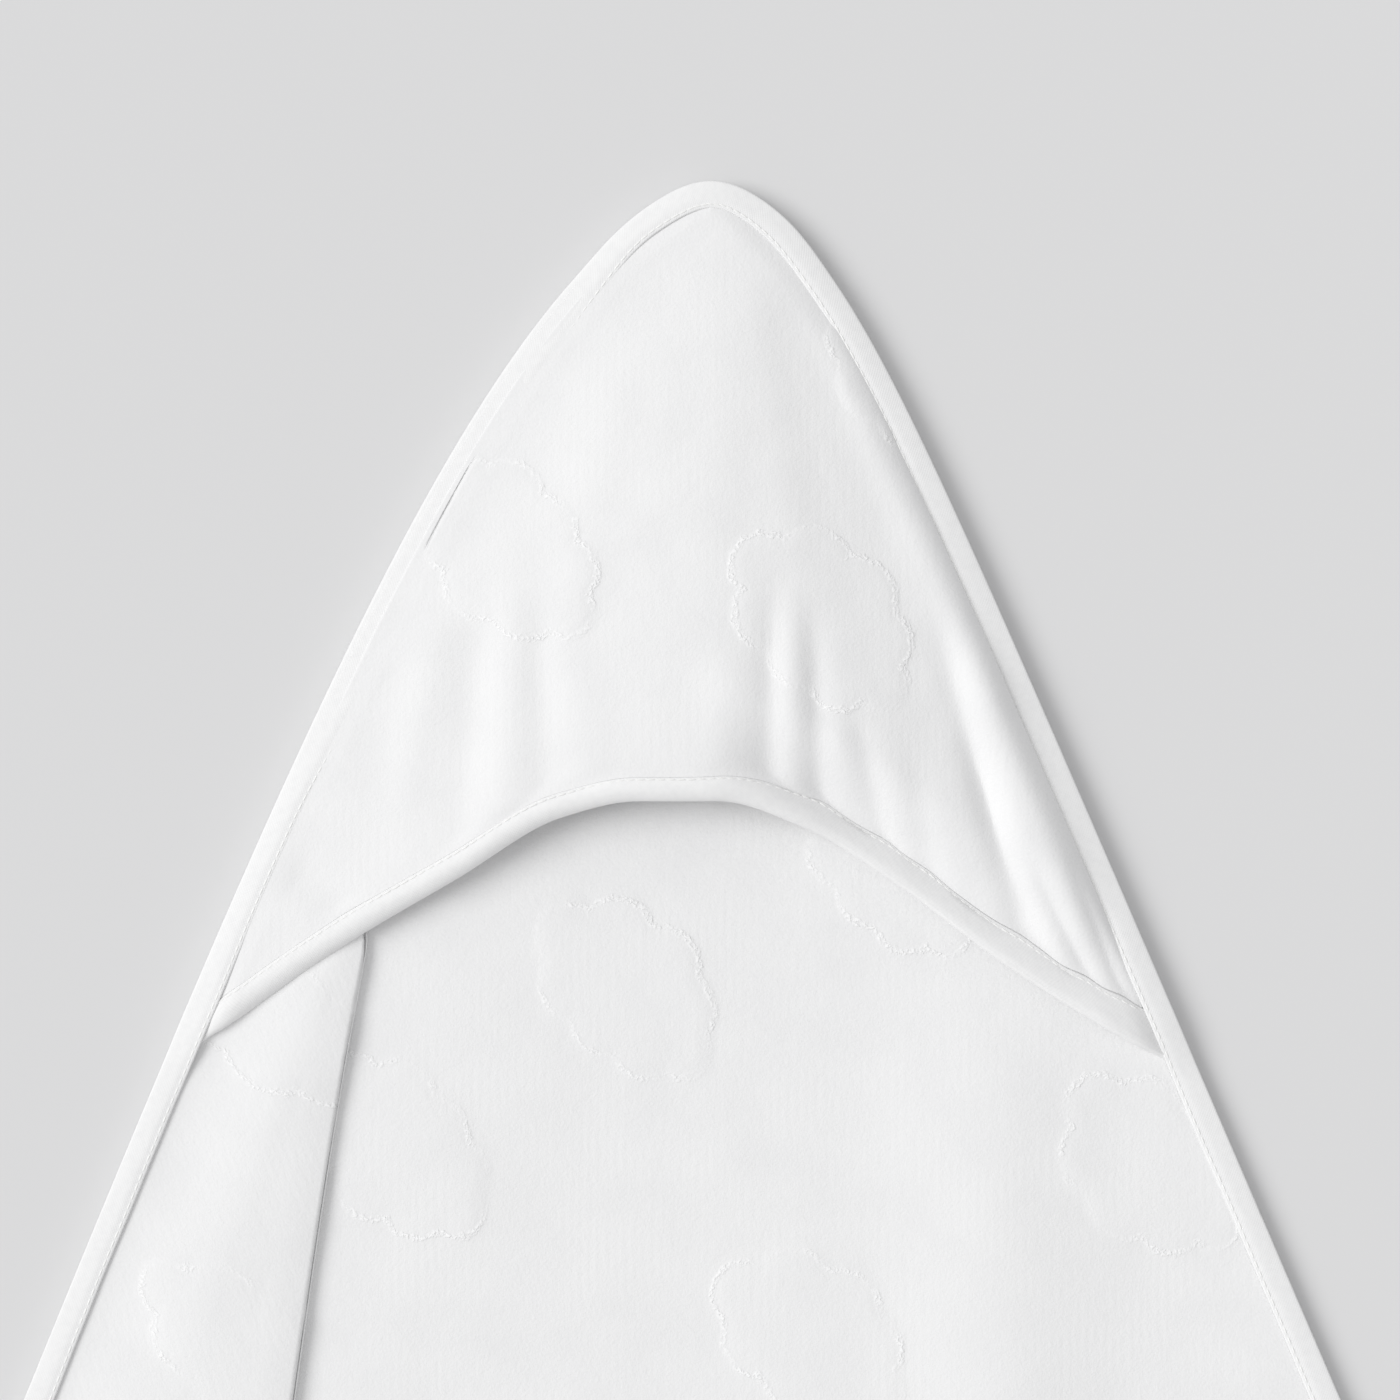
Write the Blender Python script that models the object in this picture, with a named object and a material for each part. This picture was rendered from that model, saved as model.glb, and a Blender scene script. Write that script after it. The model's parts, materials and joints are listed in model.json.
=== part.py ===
"""Hooded baby towel, laid on a flat surface with its hood open.

A square terry towel with rounded corners lies with the hood corner towards +Y, the foot corner
towards -Y and its face up. A pleat fans out down its left side, and soft folds run down to the
lower edges, so it lies narrower than it was cut. A triangular hood is sewn over the head corner.
Bias tape is folded round the towel's whole edge and round the hood's mouth, and a row of stitches
holds each tape. A blank care label is caught in the seam of the lower left edge.

The cloth bends along three fold lines, one to each side of the child and one below the feet, so
each piece that crosses a line is divided there: centre, left wing, right wing and foot. The hood
lifts about its tip.

The shape is worked out in plan as (x, d) in millimetres: x runs to the right and d down the towel
from the tip of the hood. World units are metres, +Z up, with the origin under the middle of the
towel's box.
"""

import math

import bmesh
import bpy
from mathutils import Matrix, Vector

MM = 0.001
LEFT, RIGHT = -1, 1

# Towel, as it lies
TOWEL_LENGTH = 1130.0
SIDE_CORNER_DROP = 705.0
CORNER_RADIUS = 30.0
CLOTH = 3.6

# Each upper edge: x = slope * d + bulge * (1 - exp(-(d / reach) ** EDGE_ROUNDING))
EDGE_SLOPE = {LEFT: 0.395, RIGHT: 0.430}
EDGE_BULGE = {LEFT: 63.0, RIGHT: 32.0}
EDGE_REACH = {LEFT: 58.0, RIGHT: 18.0}
EDGE_ROUNDING = 0.7

# Tapes and thread
TAPE = 0.8
EDGE_TAPE_WIDTH = 8.4
MOUTH_TAPE_WIDTH = 9.0
TAPE_WEB = 1.5
TAPE_CHAMFER = 0.9
THREAD = 0.7
STITCH_INSET = 1.0
HELD_INSET = TAPE_WEB + 0.7
SHOULDER = 3.5

# Gaps between pieces that touch
GAP = 0.3
FOLD_GAP = 0.6

# The edge tape holds the towel's edge, and the hood lies on the towel beside it
TAPE_SLOT = CLOTH + 2 * GAP
HOOD_SEAT = TAPE + GAP + CLOTH + GAP
HOOD_INSET = EDGE_TAPE_WIDTH + 1.5

# Hood
HOOD_TIP_DROP = 15.0
HOOD_LEG_DROP = 252.0
MOUTH_DROP = 181.0
HOOD_RISE = 27.0
HOOD_ARCH_POWER = 0.62
MOUTH_CURVE_POWER = 1.2
HOOD_COLUMN_CROWDING = 0.4

# Pleat down the left side: its visible fold and its hidden fold both start under the hood's corner
PLEAT_START = (-104.0, 200.0)
PLEAT_LEAN = 7.4
PLEAT_FAN = 10.0
PLEAT_STEP_WIDTH = 4.0
PLEAT_RAMP = 24.0
PLEAT_RISE_LENGTH = 60.0

# Fold lines of the towel in use
CHEST_MIDDLE = -2.0
CHEST_HALF_WIDTH = 166.0
FOLD_MEETING_MARGIN = 1.5
FOLD_AXIS_CLEARANCE = 6.0

# Care label
LABEL_WIDTH = 30.0
LABEL_LENGTH = 36.0
LABEL_PLY = 0.5
LABEL_THICKNESS = 2 * LABEL_PLY + GAP
LABEL_SIDE = LEFT
LABEL_DROP = 770.0

# Reach of the shapes that divide or trim
CUTTER_HALF_HEIGHT = 60.0
CUTTER_MARGIN = 60.0
MOUTH_FIELD_TOP = 80.0
MOUTH_FIELD_STEP = 60.0
MOUTH_FIELD_MARGIN = 40.0

# Resolution of the plain solids
END_MARGIN = 4.0
END_STEPS = (1.6, 0.5)
SLOPE_STEP = 3.0
NARROW_SHARES = (0.2, 0.45, 0.7)
EDGE_STEP = 24.0
ROWS = 40
COLUMNS = 22
HOOD_COLUMNS = 20
HOOD_ROWS = 12
CORNER_STEPS = 6

# Soft folds: crest from (x, d) to (x, d), half widths and heights at both ends
FOLDS = [
    ((86, 300), (128, 900), (26, 40), (3.0, 9.0)),
    ((20, 420), (-8, 980), (30, 48), (0.0, 8.0)),
    ((222, 470), (300, 730), (26, 40), (1.0, 8.0)),
]
FOLD_FADE = 90.0

COLORS = {
    "terry": ((0.86, 0.86, 0.855, 1.0), 0.95),
    "tape": ((0.88, 0.88, 0.875, 1.0), 0.85),
    "thread": ((0.90, 0.90, 0.89, 1.0), 0.6),
    "label": ((0.90, 0.90, 0.89, 1.0), 0.5),
}


def smooth(t):
    """0 to 1 with level ends."""
    t = min(1.0, max(0.0, t))
    return t * t * (3.0 - 2.0 * t)


def mix(a, b, t):
    return a + (b - a) * t


def rounded_corner(before, corner, after, radius):
    """An arc of the radius that is tangent to both sides of the corner."""
    to_before = (before - corner).normalized()
    to_after = (after - corner).normalized()
    half = to_before.angle(to_after) / 2
    reach = radius / math.tan(half)
    centre = corner + (to_before + to_after).normalized() * (radius / math.sin(half))
    start = corner + to_before * reach - centre
    end = corner + to_after * reach - centre
    sweep = start.angle(end)
    turn = math.copysign(1.0, start.x * end.y - start.y * end.x)
    arc = []
    for k in range(CORNER_STEPS + 1):
        angle = turn * sweep * k / CORNER_STEPS
        cos, sin = math.cos(angle), math.sin(angle)
        arc.append(centre + Vector((start.x * cos - start.y * sin, start.x * sin + start.y * cos)))
    return arc


def edge_x(side, d):
    """x of an upper edge, as it would run on past the side corner."""
    bulge = EDGE_BULGE[side] * (1 - math.exp(-((d / EDGE_REACH[side]) ** EDGE_ROUNDING)))
    return side * (EDGE_SLOPE[side] * d + bulge)


def straight(start, end):
    """Points from start to end, no further apart than the edge step, without the last one."""
    count = math.ceil((end - start).length / EDGE_STEP)
    return [start.lerp(end, k / count) for k in range(count)]


def half_outline(side):
    """Points from the tip down one side to the foot, in plan."""
    corner = Vector((edge_x(side, SIDE_CORNER_DROP), SIDE_CORNER_DROP))
    foot = Vector((0.0, TOWEL_LENGTH))
    other_side = Vector((edge_x(-side, SIDE_CORNER_DROP), SIDE_CORNER_DROP))
    above = SIDE_CORNER_DROP - 2 * CORNER_RADIUS
    before = Vector((edge_x(side, above), above))
    side_arc = rounded_corner(before, corner, foot, CORNER_RADIUS)
    foot_arc = rounded_corner(corner, foot, other_side, CORNER_RADIUS)
    count = math.ceil(side_arc[0].y / EDGE_STEP)
    drops = [side_arc[0].y * (k / count) ** 1.5 for k in range(count)]
    upper = [Vector((edge_x(side, d), d)) for d in drops]
    half_foot = foot_arc[:CORNER_STEPS // 2 + 1]
    return upper + side_arc[:-1] + straight(side_arc[-1], half_foot[0]) + half_foot


class Outline:
    """The towel's outer edge: two half outlines, each read as x at a distance d."""

    def __init__(self):
        self.left = half_outline(LEFT)
        self.right = half_outline(RIGHT)
        self.end = min(self.left[-1].y, self.right[-1].y)

    def x_at(self, side, d):
        points = self.left if side < 0 else self.right
        for a, b in zip(points, points[1:]):
            if a.y <= d <= b.y and b.y > a.y:
                return mix(a.x, b.x, (d - a.y) / (b.y - a.y))
        return points[-1].x if d > points[-1].y else points[0].x

    def inward(self, side, d):
        """Unit vector in plan, at right angles to the edge and into the towel."""
        low = max(END_STEPS[1], d - SLOPE_STEP)
        high = min(self.end - END_STEPS[1], d + SLOPE_STEP)
        along = Vector((self.x_at(side, high) - self.x_at(side, low), high - low)).normalized()
        return Vector((along.y, -along.x)) * -side

    def inset(self, side, d, distance):
        return Vector((self.x_at(side, d), d)) + self.inward(side, d) * distance


OUTLINE = Outline()


def fold_height(x, d):
    """Height of the cloth's underside above the floor, from its soft folds."""
    height = 0.0
    for crest_start, crest_end, widths, heights in FOLDS:
        a, b = Vector(crest_start), Vector(crest_end)
        along = b - a
        p = Vector((x, d)) - a
        t = p.dot(along) / along.length_squared
        off = abs(p.x * along.y - p.y * along.x) / along.length
        reach = smooth((t * along.length + FOLD_FADE) / FOLD_FADE)
        t = min(1.1, max(0.0, t))
        width = mix(widths[0], widths[1], t)
        height += reach * mix(heights[0], heights[1], t) * math.exp(-((off / width) ** 2))
    return height * smooth((TOWEL_LENGTH - 2 * CORNER_RADIUS - d) / FOLD_FADE)


def edge_height(side, d):
    """Height of the soft folds at the towel's edge."""
    p = OUTLINE.inset(side, d, 0.0)
    return fold_height(p.x, p.y)


def pleat_height(x, d):
    """How much the two hidden layers of the pleat raise the towel's face."""
    down = d - PLEAT_START[1]
    if down <= 0.0:
        return 0.0
    fold = PLEAT_START[0] - down * math.tan(math.radians(PLEAT_LEAN))
    hidden = PLEAT_START[0] - down * math.tan(math.radians(PLEAT_LEAN + PLEAT_FAN))
    over_fold = smooth((fold - x) / PLEAT_STEP_WIDTH + 0.5)
    past_hidden = smooth((x - hidden) / PLEAT_RAMP + 1.0)
    risen = smooth((d - HOOD_LEG_DROP - MOUTH_TAPE_WIDTH) / PLEAT_RISE_LENGTH)
    return 2.0 * CLOTH * risen * over_fold * past_hidden


def row_distances():
    """Distances of the cloth's rows from the tip, closer together at both ends."""
    first, last = END_MARGIN, OUTLINE.end - END_MARGIN
    return [mix(first, last, (1 - math.cos(math.pi * k / ROWS)) / 2) for k in range(ROWS + 1)]


DROPS = row_distances()
MIDDLE_X = (min(OUTLINE.x_at(LEFT, d) for d in DROPS) + max(OUTLINE.x_at(RIGHT, d) for d in DROPS)) / 2
MIDDLE_DROP = OUTLINE.end / 2


def world(x, d, z):
    return Vector((x - MIDDLE_X, MIDDLE_DROP - d, z)) * MM


def material(name):
    made = bpy.data.materials.get(name) or bpy.data.materials.new(name)
    made.use_nodes = True
    color, roughness = COLORS[name]
    shader = made.node_tree.nodes["Principled BSDF"]
    shader.inputs["Base Color"].default_value = color
    shader.inputs["Roughness"].default_value = roughness
    return made


def add_object(name, data, collection, finish=None):
    made = bpy.data.objects.new(name, data)
    collection.objects.link(made)
    if finish:
        data.materials.append(material(finish))
    return made


def sheet_mesh(name, columns, rows, place):
    """A closed sheet: a grid whose upper and lower faces are put in place by place(s, t, top)."""
    bm = bmesh.new()
    bmesh.ops.create_grid(bm, x_segments=columns, y_segments=rows, size=0.5)
    shares = {v: (v.co.x + 0.5, v.co.y + 0.5) for v in bm.verts}
    lower = list(bm.verts)
    doubled = bmesh.ops.duplicate(bm, geom=bm.verts[:] + bm.edges[:] + bm.faces[:])
    upper_of = {old: doubled["vert_map"][old] for old in lower}
    for old, new in upper_of.items():
        s, t = shares[old]
        new.co = place(s, t, True)
        old.co = place(s, t, False)
    rim = [e for e in bm.edges if e.is_boundary]
    bmesh.ops.bridge_loops(bm, edges=rim)
    bmesh.ops.recalc_face_normals(bm, faces=bm.faces[:])
    mesh = bpy.data.meshes.new(name)
    bm.to_mesh(mesh)
    bm.free()
    return mesh


def across(d, inner_columns):
    """Plan points across the cloth: two in each tape, one just clear of it, and even ones between."""
    half_width = abs(OUTLINE.x_at(RIGHT, d) - OUTLINE.x_at(LEFT, d)) / 2
    steps = (HELD_INSET, EDGE_TAPE_WIDTH + GAP, EDGE_TAPE_WIDTH + SHOULDER)
    steps = [min(step, half_width * share) for step, share in zip(steps, NARROW_SHARES)]
    left, right = ([OUTLINE.inset(side, d, step) for step in steps] for side in (LEFT, RIGHT))
    inner = [left[2].lerp(right[2], k / (inner_columns - 1)) for k in range(inner_columns)]
    return left[:2] + inner + right[1::-1]


def cloth_mesh():
    """The whole towel panel, its edge between the two sides of the folded tape."""
    rows = [across(d, COLUMNS) for d in DROPS]
    last = COLUMNS + 3

    def place(s, t, top):
        row, column = round(t * ROWS), round(s * last)
        p = rows[row][column]
        z = TAPE + GAP + (CLOTH if top else 0.0)
        if column <= 2:
            z += edge_height(LEFT, DROPS[row])
        elif column >= last - 2:
            z += edge_height(RIGHT, DROPS[row])
        else:
            z += fold_height(p.x, p.y)
        if top and 2 <= column <= last - 2:
            z += pleat_height(p.x, p.y)
        return world(p.x, p.y, z)

    return sheet_mesh("cloth", last, ROWS, place)


def tape_profile(name, width, collection):
    """Closed section of a tape folded in a U, open towards +X, with its foot at y = 0."""
    top = TAPE_SLOT + 2 * TAPE
    section = [
        (0, TAPE_CHAMFER), (TAPE_CHAMFER, 0), (width, 0), (width, TAPE), (TAPE_WEB, TAPE),
        (TAPE_WEB, TAPE + TAPE_SLOT), (width, TAPE + TAPE_SLOT), (width, top), (TAPE_CHAMFER, top),
        (0, top - TAPE_CHAMFER),
    ]
    curve = bpy.data.curves.new(name, "CURVE")
    curve.dimensions = "2D"
    run = curve.splines.new("POLY")
    run.points.add(len(section) - 1)
    for point, (x, y) in zip(run.points, section):
        point.co = (x * MM, y * MM, 0, 1)
    run.use_cyclic_u = True
    made = add_object(name, curve, collection)
    made.hide_render = True
    made.display_type = "WIRE"
    return made


def mesh_of(curve):
    """The curve's mesh with its caps welded on and its faces pointing out."""
    guide = bpy.data.objects.new(curve.name, curve)
    bpy.context.scene.collection.objects.link(guide)
    bpy.context.view_layer.update()
    mesh = bpy.data.meshes.new_from_object(guide.evaluated_get(bpy.context.evaluated_depsgraph_get()))
    bpy.data.objects.remove(guide)
    bm = bmesh.new()
    bm.from_mesh(mesh)
    bmesh.ops.remove_doubles(bm, verts=bm.verts[:], dist=0.00001)
    bmesh.ops.recalc_face_normals(bm, faces=bm.faces[:])
    bm.to_mesh(mesh)
    bm.free()
    mesh.materials.clear()
    return mesh


def swept_mesh(name, path, cyclic, profile=None, radius=0.0):
    """A closed mesh swept upright along world points, by a profile or as a round thread."""
    curve = bpy.data.curves.new(name, "CURVE")
    curve.dimensions = "3D"
    curve.twist_mode = "Z_UP"
    curve.use_fill_caps = not cyclic
    if profile:
        curve.bevel_mode = "OBJECT"
        curve.bevel_object = profile
    else:
        curve.bevel_depth = radius
        curve.bevel_resolution = 0
    run = curve.splines.new("POLY")
    run.points.add(len(path) - 1)
    for point, place in zip(run.points, path):
        point.co = (*place, 1)
    run.use_cyclic_u = cyclic
    return mesh_of(curve)


def edge_path(distance, lift):
    """Points round the towel's edge, a distance inside it, clockwise from the tip, seen from above."""
    rows = DROPS[1:-1]

    def point(side, d):
        p = OUTLINE.inset(side, d, distance)
        return world(p.x, p.y, edge_height(side, d) + lift)

    upper = [*reversed(END_STEPS), *rows]
    right = [point(RIGHT, d) for d in upper]
    left = [point(LEFT, d) for d in upper]
    low = [point(RIGHT, OUTLINE.end - d) for d in END_STEPS]
    low_left = [point(LEFT, OUTLINE.end - d) for d in reversed(END_STEPS)]
    tip = world(0.0, distance, lift)
    foot = world(0.0, OUTLINE.end - distance, lift)
    return [tip, *right, *low, foot, *low_left, *reversed(left)]


def region(name, corners, collection):
    """An upright prism over a region of the plan, used to divide or trim."""
    curve = bpy.data.curves.new(name, "CURVE")
    curve.dimensions = "2D"
    curve.fill_mode = "BOTH"
    curve.extrude = CUTTER_HALF_HEIGHT * MM
    run = curve.splines.new("POLY")
    run.points.add(len(corners) - 1)
    for point, (x, d) in zip(run.points, corners):
        point.co = (*world(x, d, 0).xy, 0, 1)
    run.use_cyclic_u = True
    made = add_object(name, mesh_of(curve), collection)
    made.hide_render = True
    made.display_type = "WIRE"
    return made


def fold_lines():
    """x of the two wing folds, and the distance of the foot fold, just inside where they meet the edge."""
    wings = {side: CHEST_MIDDLE + side * CHEST_HALF_WIDTH for side in (LEFT, RIGHT)}
    meetings = []
    for side, x in wings.items():
        d = OUTLINE.end - CORNER_RADIUS
        met = OUTLINE.inset(side, d, EDGE_TAPE_WIDTH + FOLD_MEETING_MARGIN)
        while side * met.x < side * x:
            d -= 0.5
            met = OUTLINE.inset(side, d, EDGE_TAPE_WIDTH + FOLD_MEETING_MARGIN)
        meetings.append(met.y)
    return wings, min(meetings)


def regions(collection):
    """The four regions between the fold lines, each half a fold gap short of its line."""
    far, above, below, half = 2 * TOWEL_LENGTH, -CUTTER_MARGIN, TOWEL_LENGTH + CUTTER_MARGIN, FOLD_GAP / 2
    wings, foot = fold_lines()
    inner = {side: wings[side] - side * half for side in wings}
    outer = {side: wings[side] + side * half for side in wings}
    low = foot - half
    made = {
        "centre": [(inner[LEFT], above), (inner[RIGHT], above), (inner[RIGHT], low), (inner[LEFT], low)],
        "foot": [(-far, foot + half), (far, foot + half), (far, below), (-far, below)],
        "left_wing": [(-far, above), (outer[LEFT], above), (outer[LEFT], low), (-far, low)],
        "right_wing": [(far, above), (outer[RIGHT], above), (outer[RIGHT], low), (far, low)],
    }
    return {name: region(f"region_{name}", corners, collection) for name, corners in made.items()}


def divide(prefix, mesh, finish, cutters, collection):
    """One object for each region, holding the part of the mesh that lies in it."""
    mesh.materials.append(material(finish))
    for name, cutter in cutters.items():
        made = add_object(f"{prefix}_{name}", mesh, collection)
        cut = made.modifiers.new("region", "BOOLEAN")
        cut.operation = "INTERSECT"
        cut.object = cutter


def mouth_drop(s):
    """Distance of the hood's mouth from the tip, across from its left corner to its right one."""
    return mix(HOOD_LEG_DROP, MOUTH_DROP, max(0.0, math.sin(math.pi * s)) ** MOUTH_CURVE_POWER)


def hood_row(t):
    """Plan points across the hood, each with its share of the way from its left side to its right."""
    d = mix(HOOD_TIP_DROP, HOOD_LEG_DROP, t)
    left, right = OUTLINE.inset(LEFT, d, HOOD_INSET), OUTLINE.inset(RIGHT, d, HOOD_INSET)
    made = []
    for k in range(HOOD_COLUMNS + 1):
        s = mix(k / HOOD_COLUMNS, smooth(k / HOOD_COLUMNS), HOOD_COLUMN_CROWDING)
        p = left.lerp(right, s)
        made.append((s, Vector((p.x, p.y + (mouth_drop(s) - HOOD_LEG_DROP) * t))))
    return made


def hood_height(s, t):
    """Height of the hood's underside above the floor."""
    arch = max(0.0, 4 * s * (1 - s)) ** HOOD_ARCH_POWER
    return mix(HOOD_SEAT, HOOD_SEAT + TAPE + GAP, t) + HOOD_RISE * smooth(t) * arch


def build_hood(collection, guides):
    """Hood panel, the tape round its mouth and that tape's stitches."""
    length = HOOD_LEG_DROP - HOOD_TIP_DROP
    trimmed = 1.0 - HELD_INSET / length
    rows = [hood_row(trimmed * k / HOOD_ROWS) for k in range(HOOD_ROWS + 1)]

    def place(s, t, top):
        share, p = rows[round(t * HOOD_ROWS)][round(s * HOOD_COLUMNS)]
        return world(p.x, p.y, hood_height(share, trimmed * t) + (CLOTH if top else 0.0))

    mesh = sheet_mesh("hood_panel", HOOD_COLUMNS, HOOD_ROWS, place)
    add_object("hood_panel", mesh, collection, "terry")
    drops = [MOUTH_FIELD_TOP + MOUTH_FIELD_STEP * k for k in range(3)] + [HOOD_LEG_DROP + MOUTH_FIELD_MARGIN]
    field = [OUTLINE.inset(LEFT, d, HOOD_INSET) for d in drops]
    field += [OUTLINE.inset(RIGHT, d, HOOD_INSET) for d in reversed(drops)]
    cutter = region("mouth_field", field, guides)

    def mouth_path(back, lift):
        points = hood_row(1.0 - back / length)
        return [world(p.x, p.y, hood_height(s, 1.0) + lift) for s, p in points]

    profile = tape_profile("mouth_tape_section", MOUTH_TAPE_WIDTH, guides)
    above = CLOTH + GAP + TAPE + GAP + THREAD / 2
    pieces = {
        "hood_mouth_tape": (swept_mesh("mouth_tape", mouth_path(0.0, -TAPE - GAP), False, profile), "tape"),
        "hood_mouth_stitching": (
            swept_mesh("mouth_thread", mouth_path(MOUTH_TAPE_WIDTH - STITCH_INSET, above), False,
                       radius=THREAD / 2 * MM), "thread"),
    }
    for name, (mesh, finish) in pieces.items():
        made = add_object(name, mesh, collection, finish)
        cut = made.modifiers.new("mitre", "BOOLEAN")
        cut.operation = "INTERSECT"
        cut.object = cutter


def build_label(collection):
    """A folded ribbon that lies outward from the seam of a lower edge."""
    root = OUTLINE.inset(LABEL_SIDE, LABEL_DROP, -GAP)
    out = -OUTLINE.inward(LABEL_SIDE, LABEL_DROP)
    section = [(0, 0), (LABEL_LENGTH, 0), (LABEL_LENGTH, LABEL_THICKNESS), (0, LABEL_THICKNESS),
               (0, LABEL_PLY + GAP), (LABEL_LENGTH - LABEL_PLY, LABEL_PLY + GAP),
               (LABEL_LENGTH - LABEL_PLY, LABEL_PLY), (0, LABEL_PLY)]
    curve = bpy.data.curves.new("care_label", "CURVE")
    curve.dimensions = "2D"
    curve.fill_mode = "BOTH"
    curve.extrude = LABEL_WIDTH / 2 * MM
    run = curve.splines.new("POLY")
    run.points.add(len(section) - 1)
    for point, (x, z) in zip(run.points, section):
        point.co = (x * MM, z * MM, 0, 1)
    run.use_cyclic_u = True
    mesh = mesh_of(curve)
    along = Vector((out.x, -out.y, 0.0))
    turn = Matrix((along, (0, 0, 1), along.cross((0, 0, 1)))).transposed().to_4x4()
    made = add_object("care_label", mesh, collection, "label")
    made.matrix_world = Matrix.Translation(world(root.x, root.y, 0.0)) @ turn


def hang(name, place, pieces):
    """An empty on a joint's axis that carries the pieces which turn about it."""
    axis = bpy.data.objects.new(name, None)
    axis.location = place
    pieces[0].users_collection[0].objects.link(axis)
    for piece in pieces:
        piece.parent = axis
        piece.matrix_parent_inverse = Matrix.Translation(place).inverted()
    return axis


def hang_moving_pieces(collection):
    """Carries each group of moving pieces on its joint's axis."""
    wings, foot = fold_lines()
    tallest = max(2 * CLOTH, *(heights[1] for _, _, _, heights in FOLDS))
    axis_height = TAPE + GAP + CLOTH + tallest + FOLD_AXIS_CLEARANCE
    label_root = OUTLINE.inset(LABEL_SIDE, LABEL_DROP, -GAP)
    places = {
        "left_wing": world(wings[LEFT], MIDDLE_DROP, axis_height),
        "right_wing": world(wings[RIGHT], MIDDLE_DROP, axis_height),
        "foot": world(0.0, foot, axis_height),
        "hood": world(0.0, HOOD_TIP_DROP, HOOD_SEAT),
        "label": world(label_root.x, label_root.y, LABEL_THICKNESS),
    }
    axes = {}
    for name, place in places.items():
        pieces = [o for o in collection.objects if o.type == "MESH" and name in o.name]
        axes[name] = hang(f"{name}_axis", place, pieces)
    wing = "left_wing" if LABEL_SIDE == LEFT else "right_wing"
    axes["label"].parent = axes[wing]
    axes["label"].matrix_parent_inverse = Matrix.Translation(places[wing]).inverted()


def main():
    for old in list(bpy.data.objects):
        bpy.data.objects.remove(old)
    towel = bpy.data.collections.new("hooded_towel")
    guides = bpy.data.collections.new("guides")
    for collection in (towel, guides):
        bpy.context.scene.collection.children.link(collection)
    cutters = regions(guides)
    divide("towel_panel", cloth_mesh(), "terry", cutters, towel)
    profile = tape_profile("edge_tape_section", EDGE_TAPE_WIDTH, guides)
    divide("edge_tape", swept_mesh("edge_tape", edge_path(0.0, 0.0), True, profile), "tape", cutters, towel)
    thread_height = 2 * TAPE + TAPE_SLOT + GAP + THREAD / 2
    thread_path = edge_path(EDGE_TAPE_WIDTH - STITCH_INSET, thread_height)
    thread = swept_mesh("edge_stitching", thread_path, True, radius=THREAD / 2 * MM)
    divide("edge_stitching", thread, "thread", cutters, towel)
    build_hood(towel, guides)
    build_label(towel)
    hang_moving_pieces(towel)


main()
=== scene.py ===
"""Hooded baby towel: the finished looks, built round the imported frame.

The towel lies face up on a plain floor, its hood corner towards +Y. Its shape is worked out in plan
as (x, d) in millimetres: x runs to the right and d down the towel from the tip of the hood. World
units are metres.
"""

import json
import logging
import math
from collections.abc import Callable, Iterable, Sequence
from dataclasses import dataclass, field
from enum import Enum

import bmesh
import bpy
import numpy as np
from mathutils import Matrix, Vector, noise

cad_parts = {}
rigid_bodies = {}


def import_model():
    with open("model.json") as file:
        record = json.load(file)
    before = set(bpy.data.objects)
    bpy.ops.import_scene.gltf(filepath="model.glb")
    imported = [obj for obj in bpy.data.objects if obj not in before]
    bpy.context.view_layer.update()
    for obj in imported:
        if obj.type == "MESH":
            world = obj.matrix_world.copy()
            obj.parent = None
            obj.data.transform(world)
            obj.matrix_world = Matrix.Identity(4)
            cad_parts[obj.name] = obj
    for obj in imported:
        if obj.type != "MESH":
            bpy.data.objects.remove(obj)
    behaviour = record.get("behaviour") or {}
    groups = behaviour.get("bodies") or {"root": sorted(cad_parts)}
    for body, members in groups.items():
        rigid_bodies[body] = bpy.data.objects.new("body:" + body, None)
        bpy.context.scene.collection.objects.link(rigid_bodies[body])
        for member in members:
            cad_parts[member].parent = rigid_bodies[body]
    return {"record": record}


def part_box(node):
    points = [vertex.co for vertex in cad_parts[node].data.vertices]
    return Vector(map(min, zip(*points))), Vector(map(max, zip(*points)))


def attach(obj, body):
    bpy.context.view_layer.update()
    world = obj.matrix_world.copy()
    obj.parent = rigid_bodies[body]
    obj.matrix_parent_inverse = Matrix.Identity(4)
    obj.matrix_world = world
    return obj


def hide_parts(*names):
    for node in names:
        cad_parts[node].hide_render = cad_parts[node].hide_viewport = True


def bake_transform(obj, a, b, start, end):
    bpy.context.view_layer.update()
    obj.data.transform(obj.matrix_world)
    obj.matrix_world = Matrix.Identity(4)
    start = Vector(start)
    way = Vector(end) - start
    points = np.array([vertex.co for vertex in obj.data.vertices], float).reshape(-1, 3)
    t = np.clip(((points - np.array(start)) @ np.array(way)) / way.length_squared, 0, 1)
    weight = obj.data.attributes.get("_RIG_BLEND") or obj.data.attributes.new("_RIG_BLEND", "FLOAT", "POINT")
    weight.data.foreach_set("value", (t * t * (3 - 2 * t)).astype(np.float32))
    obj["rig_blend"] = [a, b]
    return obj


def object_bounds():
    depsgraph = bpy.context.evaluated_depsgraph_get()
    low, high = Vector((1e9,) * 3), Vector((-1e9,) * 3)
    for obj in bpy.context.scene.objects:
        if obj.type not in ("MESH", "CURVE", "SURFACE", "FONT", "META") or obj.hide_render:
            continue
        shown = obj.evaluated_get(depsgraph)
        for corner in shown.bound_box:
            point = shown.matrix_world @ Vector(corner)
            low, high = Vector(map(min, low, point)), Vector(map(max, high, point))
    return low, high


for startup_object in list(bpy.data.objects):
    bpy.data.objects.remove(startup_object)
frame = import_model()
CAD_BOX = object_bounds()

MM = 0.001
WELD = 0.00001
PILE_ROW = 0.0027
SPECULAR = 0.2
SHEEN_ROUGHNESS = 0.6
log = logging.getLogger("hooded_towel")


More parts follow.
